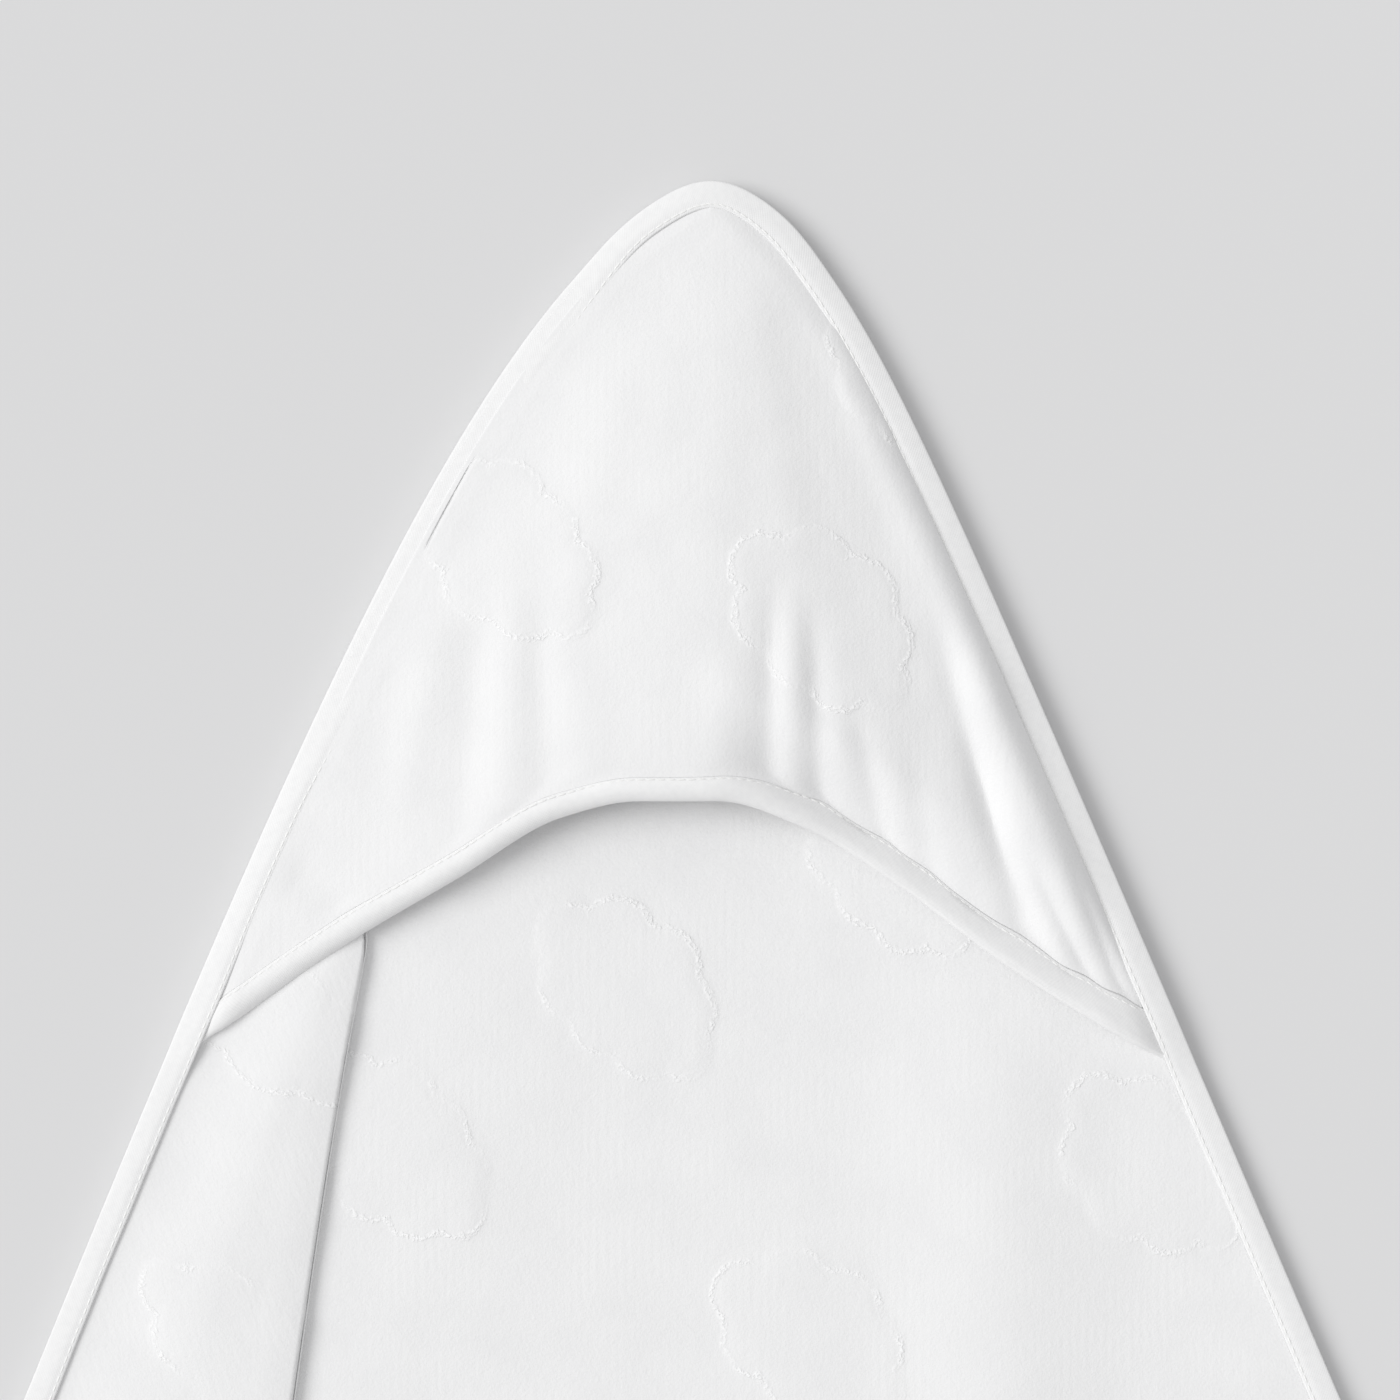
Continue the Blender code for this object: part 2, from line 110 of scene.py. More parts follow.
class Side(Enum):
    """The two sides of the towel, as signs of x."""

    LEFT = -1
    RIGHT = 1


class Region(Enum):
    """The parts of the towel between its fold lines, by the name of the body each one moves with."""

    CENTRE = "centre"
    LEFT_WING = "left_wing"
    RIGHT_WING = "right_wing"
    FOOT = "foot"


# ---------------------------------------------------------------- curves and grids


def smooth(t: np.ndarray | float) -> np.ndarray:
    """0 to 1 with level ends."""
    t = np.clip(t, 0.0, 1.0)
    return t * t * (3.0 - 2.0 * t)


def mix(a: np.ndarray | float, b: np.ndarray | float, t: np.ndarray | float) -> np.ndarray:
    """From a at 0 to b at 1."""
    return a + (b - a) * t


def window(value: np.ndarray, start: float, end: float, fade: float) -> np.ndarray:
    """1 between start and end, falling smoothly to 0 over the fade outside them."""
    return smooth((value - start + fade) / fade) * smooth((end + fade - value) / fade)


def curve_through(knots: Sequence[tuple[float, float]], at: np.ndarray) -> np.ndarray:
    """A smooth curve through knots that never overshoots them.

    Args:
        knots: (position, value) pairs in rising order of position.
        at: Positions to read.

    Returns:
        The curve's value at each position, held level beyond both ends.
    """
    xs, ys = (np.array(part, float) for part in zip(*knots))
    steps = np.diff(xs)
    slopes = np.diff(ys) / steps
    tangents = np.zeros_like(xs)
    product = slopes[:-1] * slopes[1:]
    total = np.where(product > 0, slopes[:-1] + slopes[1:], 1.0)
    tangents[1:-1] = np.where(product > 0, 2.0 * product / total, 0.0)
    tangents[0], tangents[-1] = slopes[0], slopes[-1]
    at = np.clip(at, xs[0], xs[-1])
    k = np.clip(np.searchsorted(xs, at, side="right") - 1, 0, len(xs) - 2)
    t = (at - xs[k]) / steps[k]
    rise = (1 + 2 * t) * (1 - t) ** 2 * ys[k] + t * t * (3 - 2 * t) * ys[k + 1]
    return rise + steps[k] * (t * (1 - t) ** 2 * tangents[k] - t * t * (1 - t) * tangents[k + 1])


def noise_at(points: np.ndarray, size: float, seed: float = 0.0) -> np.ndarray:
    """Smooth random values near -1 to 1 over points.

    Args:
        points: Places in millimetres, one to a row.
        size: Size of the noise's features in millimetres.
        seed: Shifts the pattern.

    Returns:
        One value for each point.
    """
    flat = points.reshape(-1, points.shape[-1])
    values = [noise.noise((p[0] / size, p[1] / size, seed)) for p in flat]
    return np.array(values).reshape(points.shape[:-1])


def grid_normals(points: np.ndarray) -> np.ndarray:
    """Unit normals on the upper side of a grid of points whose rows run down the towel."""
    down, across = np.gradient(points, axis=0), np.gradient(points, axis=1)
    normals = np.cross(down, across)
    return normals / np.maximum(np.linalg.norm(normals, axis=-1, keepdims=True), 1e-12)


def thick_sheet(
    points: np.ndarray, thickness: np.ndarray | float, layers: dict[str, np.ndarray]
) -> bmesh.types.BMesh:
    """A closed sheet of cloth round a grid of points on its middle surface.

    Args:
        points: Grid of places in metres, rows by columns.
        thickness: Thickness in metres, one value or one for each point.
        layers: Named values for each point, as numbers or as triples.

    Returns:
        The sheet, with the layers on its vertices.
    """
    rows, columns = points.shape[0] - 1, points.shape[1] - 1
    half = grid_normals(points) * np.broadcast_to(np.asarray(thickness) / 2, points.shape[:2])[..., None]
    upper, lower = (points + half).reshape(-1, 3), (points - half).reshape(-1, 3)
    bm = bmesh.new()
    bmesh.ops.create_grid(bm, x_segments=columns, y_segments=rows, size=0.5)
    bm.verts.layers.int.new("place")
    kinds = {
        name: bm.verts.layers.float_vector if value.ndim == 3 else bm.verts.layers.float
        for name, value in layers.items()
    }
    for name, kind in kinds.items():
        kind.new(name)
    # A new layer moves the others, so each is looked up after the last one is made.
    place = bm.verts.layers.int["place"]
    made = {name: kind[name] for name, kind in kinds.items()}
    values = {name: value.reshape(len(upper), -1) for name, value in layers.items()}
    for v in bm.verts:
        row, column = round((0.5 - v.co.y) * rows), round((v.co.x + 0.5) * columns)
        v[place] = index = row * (columns + 1) + column
        for name, layer in made.items():
            value = values[name][index]
            v[layer] = Vector(value) if len(value) > 1 else float(value[0])
    extruded = bmesh.ops.extrude_face_region(bm, geom=bm.faces[:], use_keep_orig=True)
    doubled = {v for v in extruded["geom"] if isinstance(v, bmesh.types.BMVert)}
    for v in bm.verts:
        v.co = lower[v[place]] if v in doubled else upper[v[place]]
    bmesh.ops.recalc_face_normals(bm, faces=bm.faces[:])
    return bm


def swept_band(sections: np.ndarray, cyclic: bool, lay: np.ndarray) -> bmesh.types.BMesh:
    """A closed band through closed sections that lie one after another.

    Args:
        sections: Places in metres, stations by points round the section.
        cyclic: Whether the last station joins the first one.
        lay: Place of each point on the flat tape, in metres, as triples.

    Returns:
        The band, with "lay" on its vertices.
    """
    grid = np.concatenate([sections, sections[:, :1]], axis=1)
    lay = np.concatenate([lay, lay[:, :1]], axis=1)
    if cyclic:
        grid, lay = np.concatenate([grid, grid[:1]]), np.concatenate([lay, lay[:1]])
    rows, columns = grid.shape[0] - 1, grid.shape[1] - 1
    bm = bmesh.new()
    bmesh.ops.create_grid(bm, x_segments=columns, y_segments=rows, size=0.5)
    layer = bm.verts.layers.float_vector.new("lay")
    for v in bm.verts:
        row, column = round((0.5 - v.co.y) * rows), round((v.co.x + 0.5) * columns)
        v.co = grid[row, column]
        v[layer] = Vector(lay[row, column])
    bmesh.ops.remove_doubles(bm, verts=bm.verts[:], dist=WELD)
    if not cyclic:
        bmesh.ops.holes_fill(bm, edges=[e for e in bm.edges if e.is_boundary], sides=0)
    bmesh.ops.recalc_face_normals(bm, faces=bm.faces[:])
    return bm


def mesh_object(name: str, bm: bmesh.types.BMesh, finish: bpy.types.Material) -> bpy.types.Object:
    """Makes an object at the origin from a bmesh, smooth-shaded, and frees the bmesh."""
    mesh = bpy.data.meshes.new(name)
    for face in bm.faces:
        face.smooth = True
    bm.to_mesh(mesh)
    bm.free()
    mesh.materials.append(finish)
    made = bpy.data.objects.new(name, mesh)
    bpy.context.scene.collection.objects.link(made)
    return made


# ---------------------------------------------------------------- the towel's plan


@dataclass(frozen=True)
class Layout:
    """Where the plan lies in the world, read from the frame."""

    tip_x: float
    tip_y: float
    fold_x: dict[Side, float]
    foot_y: float

    @classmethod
    def from_frame(cls) -> "Layout":
        """Reads the tip from the CAD box and the fold lines from the joints."""
        places = {joint["name"]: joint["pos_m"] for joint in frame["record"]["behaviour"]["joints"]}
        folds = {Side.LEFT: places["left_wrap"][0], Side.RIGHT: places["right_wrap"][0]}
        return cls(places["hood_lift"][0], CAD_BOX[1][1], folds, places["foot_wrap"][1])

    def world(self, x: np.ndarray, d: np.ndarray, z: np.ndarray) -> np.ndarray:
        """World places in metres of plan points in millimetres."""
        x, d, z = np.broadcast_arrays(x, d, z)
        return np.stack([self.tip_x + x * MM, self.tip_y - d * MM, z * MM], axis=-1)

    def fold_plan_x(self, side: Side) -> float:
        """x of a wing's fold line, in plan."""
        return (self.fold_x[side] - self.tip_x) / MM

    @property
    def foot_drop(self) -> float:
        """Distance of the foot's fold line from the tip, in plan."""
        return (self.tip_y - self.foot_y) / MM

    def region_of(self, x: np.ndarray, d: np.ndarray) -> np.ndarray:
        """The region that holds each plan point, as an index into Region."""
        wing = np.where(x < self.fold_plan_x(Side.LEFT), 1, np.where(x > self.fold_plan_x(Side.RIGHT), 2, 0))
        return np.where(d > self.foot_drop, 3, wing)

    def planes(self, region: Region) -> list[tuple[Vector, Vector]]:
        """Planes that bound a region, each as a point and the direction to clear."""
        left = Vector((self.fold_x[Side.LEFT], 0, 0))
        right = Vector((self.fold_x[Side.RIGHT], 0, 0))
        foot = Vector((0, self.foot_y, 0))
        x, y = Vector((1, 0, 0)), Vector((0, 1, 0))
        return {
            Region.CENTRE: [(foot, -y), (left, -x), (right, x)],
            Region.LEFT_WING: [(foot, -y), (left, x)],
            Region.RIGHT_WING: [(foot, -y), (right, -x)],
            Region.FOOT: [(foot, y)],
        }[region]


@dataclass(frozen=True)
class TowelOutline:
    """The towel's outer edge as it lies: two curved upper edges, straight lower ones, rounded corners."""

    length: float = 1130.0
    side_corner_drop: float = 705.0
    corner_radius: float = 30.0
    slope: tuple[float, float] = (0.395, 0.430)
    bulge: tuple[float, float] = (63.0, 32.0)
    reach: tuple[float, float] = (58.0, 18.0)
    rounding: float = 0.7
    corner_steps: int = 24
    edge_points: int = 260
    tip_crowding: float = 1.8
    round_tip: tuple[float, float] = (30.0, 18.0)
    tip_smoothing: float = 54.0
    samples: dict[Side, np.ndarray] = field(default_factory=dict)

    def __post_init__(self) -> None:
        """Samples both half outlines."""
        for side in Side:
            self.samples[side] = self._half(side)

    def _edge_x(self, side: Side, d: float) -> float:
        """x of an upper edge, as it would run on past the side corner."""
        k = 0 if side is Side.LEFT else 1
        bulge = self.bulge[k] * (1 - math.exp(-((d / self.reach[k]) ** self.rounding)))
        return side.value * (self.slope[k] * d + bulge)

    def _corner(self, before: Vector, corner: Vector, after: Vector) -> list[Vector]:
        """An arc of the corner radius, tangent to both sides of a corner."""
        to_before, to_after = (before - corner).normalized(), (after - corner).normalized()
        half = to_before.angle(to_after) / 2
        centre = corner + (to_before + to_after).normalized() * (self.corner_radius / math.sin(half))
        start = corner + to_before * (self.corner_radius / math.tan(half)) - centre
        end = corner + to_after * (self.corner_radius / math.tan(half)) - centre
        turn = math.copysign(start.angle(end), start.x * end.y - start.y * end.x)
        across = Vector((-start.y, start.x))
        angles = [turn * k / self.corner_steps for k in range(self.corner_steps + 1)]
        return [centre + start * math.cos(angle) + across * math.sin(angle) for angle in angles]

    def _half(self, side: Side) -> np.ndarray:
        """Plan points from the tip down one side to the foot."""
        low = self.side_corner_drop
        other = Side.LEFT if side is Side.RIGHT else Side.RIGHT
        corner = Vector((self._edge_x(side, low), low))
        above = low - 2 * self.corner_radius
        before = Vector((self._edge_x(side, above), above))
        foot = Vector((0.0, self.length))
        side_arc = self._corner(before, corner, foot)
        foot_arc = self._corner(corner, foot, Vector((self._edge_x(other, low), low)))
        drops = [side_arc[0].y * (k / self.edge_points) ** self.tip_crowding for k in range(self.edge_points)]
        points = [Vector((self._edge_x(side, d), d)) for d in drops]
        points += side_arc + foot_arc[: self.corner_steps // 2 + 1]
        return np.array([p[:] for p in points])

    @property
    def end(self) -> float:
        """Distance of the foot's lowest point from the tip."""
        return min(self.samples[side][-1, 1] for side in Side)

    def x_at(self, side: Side, d: np.ndarray | float) -> np.ndarray:
        """x of the outer edge on one side, at a distance from the tip."""
        points = self.samples[side]
        return np.interp(d, points[:, 1], points[:, 0])

    def inset(
        self, side: Side, d: np.ndarray | float, distance: np.ndarray | float
    ) -> tuple[np.ndarray, np.ndarray]:
        """Plan points a distance inside the edge, at right angles to it.

        Args:
            side: Which edge.
            d: Distances from the tip of the edge's points.
            distance: How far inside them, in millimetres.

        Returns:
            x and d of the points.
        """
        margin, reach = 0.4, 3.0
        low = np.maximum(margin, np.asarray(d) - reach)
        high = np.minimum(self.end - margin, np.asarray(d) + reach)
        dx, dy = self.x_at(side, high) - self.x_at(side, low), high - low
        length = np.hypot(dx, dy)
        x = self.x_at(side, d) - side.value * dy / length * distance
        return x, d + side.value * dx / length * distance

    def loop(self, step: float) -> np.ndarray:
        """Even plan points round the whole edge, clockwise from the tip as seen from above."""
        ring = np.concatenate([self.samples[Side.RIGHT], self.samples[Side.LEFT][::-1][1:]])
        run = np.concatenate([[0.0], np.cumsum(np.hypot(*np.diff(ring, axis=0).T))])
        at = np.linspace(0.0, run[-1], round(run[-1] / step), endpoint=False)
        ring = np.stack([np.interp(at, run, ring[:, 0]), np.interp(at, run, ring[:, 1])], axis=-1)
        reach, fade = self.round_tip
        near_tip = smooth((reach - ring[:, 1]) / fade)[:, None]
        for _ in range(round(self.tip_smoothing / step**2)):
            ring = mix(ring, (np.roll(ring, 1, axis=0) + np.roll(ring, -1, axis=0)) / 2, near_tip)
        ring[:, 1] -= ring[:, 1].min() * near_tip[:, 0]
        return ring


@dataclass(frozen=True)
class SoftFolds:
    """Soft folds that lift the towel off the floor: a crest line, half widths and heights at its ends."""

    crests: tuple = (
        ((86, 300), (128, 900), (26, 40), (3.0, 9.0)),
        ((20, 420), (-8, 980), (30, 48), (0.0, 8.0)),
        ((222, 470), (300, 730), (26, 40), (1.0, 8.0)),
    )
    fade: float = 90.0
    end: float = 1070.0

    def height(self, x: np.ndarray, d: np.ndarray) -> np.ndarray:
        """Height of the cloth's underside above where it would lie flat."""
        height = np.zeros(np.broadcast(x, d).shape)
        for (x0, d0), (x1, d1), widths, heights in self.crests:
            length = math.hypot(x1 - x0, d1 - d0)
            t = ((x - x0) * (x1 - x0) + (d - d0) * (d1 - d0)) / length**2
            off = np.abs((x - x0) * (d1 - d0) - (d - d0) * (x1 - x0)) / length
            reach = smooth((t * length + self.fade) / self.fade)
            t = np.clip(t, 0.0, 1.1)
            height += reach * mix(*heights, t) * np.exp(-((off / mix(*widths, t)) ** 2))
        return height * smooth((self.end - d) / self.fade)

    def ripple(self, x: np.ndarray, d: np.ndarray) -> np.ndarray:
        """Shallow unevenness of a cloth that was smoothed by hand."""
        places = np.stack(np.broadcast_arrays(x, d), axis=-1)
        return 0.55 * noise_at(places, 46.0, 3.1) + 0.3 * noise_at(places, 19.0, 7.7)


@dataclass(frozen=True)
class Pleat:
    """A fold down the towel's left side: a top layer that turns under, back, and out again as the panel."""

    start: tuple[float, float] = (-104.0, 200.0)
    lean: float = 7.4
    tucked: tuple = ((0, -36), (200, 0), (365, 30), (480, 45), (620, 36), (760, 0), (900, -40), (1130, -40))
    risen: tuple = ((186, 0), (232, 1), (700, 1), (905, 0))
    edge_share: float = 0.127
    run_on_share: float = 0.12
    softness: float = 10.0
    fade: float = 30.0
    ramp: float = 64.0
    ply_gap: float = 0.3

    def fold_x(self, outline: TowelOutline, d: np.ndarray) -> np.ndarray:
        """x of the visible fold, kept inside the towel where the fold itself has run out."""
        left, right = outline.x_at(Side.LEFT, d), outline.x_at(Side.RIGHT, d)
        line = self.start[0] - (d - self.start[1]) * math.tan(math.radians(self.lean))
        inside = left + self.edge_share * (right - left)
        low = self.softness * np.logaddexp(line / self.softness, inside / self.softness)
        return np.where(d < self.start[1], inside, mix(inside, low, smooth((d - self.start[1]) / self.fade)))

    def overlap(self, outline: TowelOutline, d: np.ndarray) -> np.ndarray:
        """How far the tucked layer runs back under the fold; below 0, how far the cloth runs on."""
        width = outline.x_at(Side.RIGHT, d) - outline.x_at(Side.LEFT, d)
        return np.maximum(curve_through(self.tucked, d), -self.run_on_share * width)

    def step(self, cloth: float, d: np.ndarray) -> np.ndarray:
        """Height of the top layer over the panel: the two layers under it."""
        return (2 * cloth + self.ply_gap) * curve_through(self.risen, d)


@dataclass(frozen=True)
class Clouds:
    """Cloud motifs knitted into the cloth, each a ring of scallops round circles."""

    circles: tuple = (
        (-24, 1, 10), (-13, -9, 12), (3, -11, 13), (17, -6, 11), (27, 2, 8), (17, 9, 10), (3, 10, 12),
        (-12, 9, 12), (-8, 0, 14), (9, 0, 14),
    )
    turn: float = 44.0
    turn_spread: float = 9.0
    towel: tuple = (
        (-25, 241), (-93, 289), (30, 345), (55, 203), (131, 294), (-57, 396), (-194, 350), (-150, 250),
    )
    hood: tuple = ((33, 131), (-60, 110), (64, 60))
    spacing: tuple = ((50.0, 102.0), (105.0, -50.0))
    repeats: int = 14
    first_drop: float = 255.0
    apart: float = 92.0
    scale: float = 0.96
    reach: float = 60.0
    far: float = 40.0

    def spread(self, placed: Sequence[tuple[float, float]]) -> list[tuple[float, float]]:
        """The placed motifs, carried on over the rest of the towel in the same stagger."""
        found = list(placed)
        (ax, ad), (bx, bd) = self.spacing
        start_x, start_d = placed[0]
        for i in range(-self.repeats, self.repeats + 1):
            for j in range(-self.repeats, self.repeats + 1):
                x, d = start_x + i * ax + j * bx, start_d + i * ad + j * bd
                clear = all(math.hypot(x - px, d - pd) > self.apart for px, pd in placed)
                if d > self.first_drop and clear:
                    found.append((x, d))
        return found

    def distance(self, u: np.ndarray, d: np.ndarray, centres: Iterable[tuple[float, float]]) -> np.ndarray:
        """Signed distance to the nearest motif's outline, below 0 inside it.

        Args:
            u: Places across the cut cloth.
            d: Places down it.
            centres: The motifs' centres.

        Returns:
            One distance in millimetres for each place.
        """
        nearest = np.full(u.shape, self.far)
        for k, (x, y) in enumerate(centres):
            close = (np.abs(u - x) < self.reach) & (np.abs(d - y) < self.reach)
            angle = math.radians(self.turn + self.turn_spread * math.sin(2.3 * k))
            flip = -1.0 if k % 3 == 1 else 1.0
            du, dd = (u[close] - x) / self.scale, (d[close] - y) / self.scale
            along = du * math.cos(angle) + dd * math.sin(angle)
            over = (dd * math.cos(angle) - du * math.sin(angle)) * flip
            shape = np.min([np.hypot(along - a, over - b) - r for a, b, r in self.circles], axis=0)
            nearest[close] = np.minimum(nearest[close], shape * self.scale)
        return nearest


# ---------------------------------------------------------------- finishes


def node(
    tree: bpy.types.NodeTree, kind: str, inputs: dict | None = None, **settings: object
) -> bpy.types.Node:
    """Adds a node to a tree.

    Args:
        tree: The node tree.
        kind: The node's type name.
        inputs: Values or sockets for its inputs, by name or number.
        settings: The node's own settings.

    Returns:
        The new node.
    """
    made = tree.nodes.new(kind)
    for key, value in settings.items():
        setattr(made, key, value)
    for key, value in (inputs or {}).items():
        if isinstance(value, bpy.types.NodeSocket):
            tree.links.new(value, made.inputs[key])
        else:
            made.inputs[key].default_value = value
    return made


def math_node(tree: bpy.types.NodeTree, operation: str, *values: object) -> bpy.types.NodeSocket:
    """The result of a Math node with these inputs."""
    return node(tree, "ShaderNodeMath", dict(enumerate(values)), operation=operation).outputs[0]


def ramp_node(
    tree: bpy.types.NodeTree, value: bpy.types.NodeSocket, low: float, high: float
) -> bpy.types.NodeSocket:
    """0 at low and 1 at high, with level ends; high may be below low."""
    inputs = {"Value": value, "From Min": min(low, high), "From Max": max(low, high)}
    rising = node(tree, "ShaderNodeMapRange", inputs, interpolation_type="SMOOTHSTEP").outputs["Result"]
    return rising if high > low else math_node(tree, "SUBTRACT", 1.0, rising)


def new_group(
    name: str, inputs: dict[str, tuple[str, object]], outputs: dict[str, str]
) -> bpy.types.NodeTree:
    """An empty shader group with its input and output nodes.

    Args:
        name: The group's name.
        inputs: Socket type and default value of each input, by name.
        outputs: Socket type of each output, by name.

    Returns:
        The group.
    """
    group = bpy.data.node_groups.new(name, "ShaderNodeTree")
    for label, (kind, value) in inputs.items():
        socket = group.interface.new_socket(label, in_out="INPUT", socket_type=kind)
        if value is not None:
            socket.default_value = value
    for label, kind in outputs.items():
        group.interface.new_socket(label, in_out="OUTPUT", socket_type=kind)
    group.nodes.new("NodeGroupInput")
    group.nodes.new("NodeGroupOutput")
    return group


def noise_node(
    tree: bpy.types.NodeTree, place: bpy.types.NodeSocket, scale: float, detail: float, roughness: float = 0.5
) -> bpy.types.NodeSocket:
    """The values of a Noise Texture at places in metres."""
    inputs = {"Vector": place, "Scale": scale, "Detail": detail, "Roughness": roughness}
    return node(tree, "ShaderNodeTexNoise", inputs).outputs["Fac"]


def mix_node(tree: bpy.types.NodeTree, share: bpy.types.NodeSocket, *colors: object) -> bpy.types.NodeSocket:
    """A mix from the first colour at 0 to the second at 1, each a socket or a value."""
    blend = node(tree, "ShaderNodeMix", data_type="RGBA")
    tree.links.new(share, blend.inputs[0])
    for socket, color in zip(blend.inputs[6:8], colors):
        if isinstance(color, bpy.types.NodeSocket):
            tree.links.new(color, socket)
        else:
            socket.default_value = (*color, 1.0)
    return blend.outputs[2]


def pile_group() -> bpy.types.NodeTree:
    """Cut pile of velour: fine tufts, clumps, faint rows along the cloth and soft mottling."""
    group = new_group(
        "pile",
        {
            "Place": ("NodeSocketVector", None),
            "Rows": ("NodeSocketFloat", 0.5),
            "Depth": ("NodeSocketFloat", 1.0),
        },
        {"Height": "NodeSocketFloat", "Mottle": "NodeSocketFloat"},
    )
    given, out = group.nodes["Group Input"].outputs, group.nodes["Group Output"].inputs
    place = given["Place"]
    tufts = noise_node(group, place, 1150.0, 3.0, 0.62)
    clumps = noise_node(group, place, 330.0, 2.0)
    broad = noise_node(group, place, 42.0, 3.0, 0.55)
    across = node(group, "ShaderNodeSeparateXYZ", {"Vector": place}).outputs["X"]
    wobble = math_node(group, "MULTIPLY", broad, 9.0)
    phase = math_node(group, "MULTIPLY_ADD", across, 2 * math.pi / PILE_ROW, wobble)
    rows = math_node(group, "MULTIPLY", math_node(group, "SINE", phase), given["Rows"])
    rows = math_node(group, "MULTIPLY", rows, ramp_node(group, broad, 0.42, 0.62))
    height = math_node(group, "MULTIPLY_ADD", tufts, 0.55, math_node(group, "MULTIPLY", rows, 0.07))
    height = math_node(group, "MULTIPLY_ADD", clumps, 0.5, height)
    group.links.new(math_node(group, "MULTIPLY", height, given["Depth"]), out["Height"])
    mottle = math_node(group, "MULTIPLY_ADD", tufts, 0.45, math_node(group, "MULTIPLY", broad, 0.55))
    group.links.new(mottle, out["Mottle"])
    return group


def motif_group() -> bpy.types.NodeTree:
    """A broken, speckled line of raised loops along a motif's outline."""
    group = new_group(
        "motif line",
        {
            "Place": ("NodeSocketVector", None),
            "Distance": ("NodeSocketFloat", 0.0),
            "Width": ("NodeSocketFloat", 1.0),
        },
        {"Line": "NodeSocketFloat", "Loops": "NodeSocketFloat"},
    )
    given, out = group.nodes["Group Input"].outputs, group.nodes["Group Output"].inputs
    wander = noise_node(group, given["Place"], 260.0, 3.0)
    speckle = noise_node(group, given["Place"], 900.0, 2.0)
    worn = noise_node(group, given["Place"], 55.0, 2.0)
    off = math_node(group, "MULTIPLY_ADD", wander, 3.4, -1.7)
    off = math_node(group, "ABSOLUTE", math_node(group, "ADD", given["Distance"], off))
    line = ramp_node(group, math_node(group, "DIVIDE", off, given["Width"]), 1.0, 0.25)
    patches = math_node(group, "MULTIPLY_ADD", ramp_node(group, worn, 0.40, 0.56), 0.85, 0.15)
    line = math_node(group, "MULTIPLY", line, patches)
    group.links.new(line, out["Line"])
    loops = ramp_node(group, speckle, 0.38, 0.62)
    group.links.new(math_node(group, "MULTIPLY", line, loops), out["Loops"])
    return group


def weave_group() -> bpy.types.NodeTree:
    """Close threads that cross at right angles, with slubs."""
    group = new_group(
        "weave",
        {"Place": ("NodeSocketVector", None), "Thread": ("NodeSocketFloat", 0.0006)},
        {"Height": "NodeSocketFloat", "Slub": "NodeSocketFloat"},
    )
    given, out = group.nodes["Group Input"].outputs, group.nodes["Group Output"].inputs
    parts = node(group, "ShaderNodeSeparateXYZ", {"Vector": given["Place"]}).outputs
    slub = noise_node(group, given["Place"], 420.0, 3.0)
    sines = []
    for axis in ("X", "Y"):
        half_turns = math_node(group, "MULTIPLY", parts[axis], math.pi)
        turns = math_node(group, "DIVIDE", half_turns, given["Thread"])
        sines.append(math_node(group, "SINE", math_node(group, "MULTIPLY_ADD", slub, 2.0, turns)))
    crossed = math_node(group, "MULTIPLY", *sines)
    group.links.new(math_node(group, "MULTIPLY_ADD", crossed, 0.5, slub), out["Height"])
    group.links.new(slub, out["Slub"])
    return group


@dataclass(frozen=True)
class Finish:
    """What every finish of the towel has: a colour, a roughness and a sheen."""

    name: str
    slot: str
    color: tuple[float, float, float]
    shade: tuple[float, float, float]
    roughness: float
    sheen: float

    def start(self) -> tuple[bpy.types.Material, bpy.types.NodeTree, bpy.types.Node]:
        """A new material, its tree and its Principled shader, with the constant values set."""
        made = bpy.data.materials.new(self.name)
        made.use_nodes = True
        tree = made.node_tree
        shader = tree.nodes["Principled BSDF"]
        shader.inputs["Roughness"].default_value = self.roughness
        shader.inputs["Specular IOR Level"].default_value = SPECULAR
        shader.inputs["Sheen Weight"].default_value = self.sheen
        shader.inputs["Sheen Roughness"].default_value = SHEEN_ROUGHNESS
        return made, tree, shader

    def tint(
        self, tree: bpy.types.NodeTree, shader: bpy.types.Node, share: bpy.types.NodeSocket
    ) -> bpy.types.NodeSocket:
        """Joins the shader's colour to a mix from the shade at 0 to the colour at 1, and returns it."""
        blend = mix_node(tree, share, self.shade, self.color)
        tree.links.new(blend, shader.inputs["Base Color"])
        return blend

    def bump(self, tree: bpy.types.NodeTree, shader: bpy.types.Node, height: bpy.types.NodeSocket) -> None:
        """Joins a height in millimetres to the shader's normal."""
        made = node(tree, "ShaderNodeBump", {"Strength": 1.0, "Distance": MM, "Height": height})
        tree.links.new(made.outputs["Normal"], shader.inputs["Normal"])


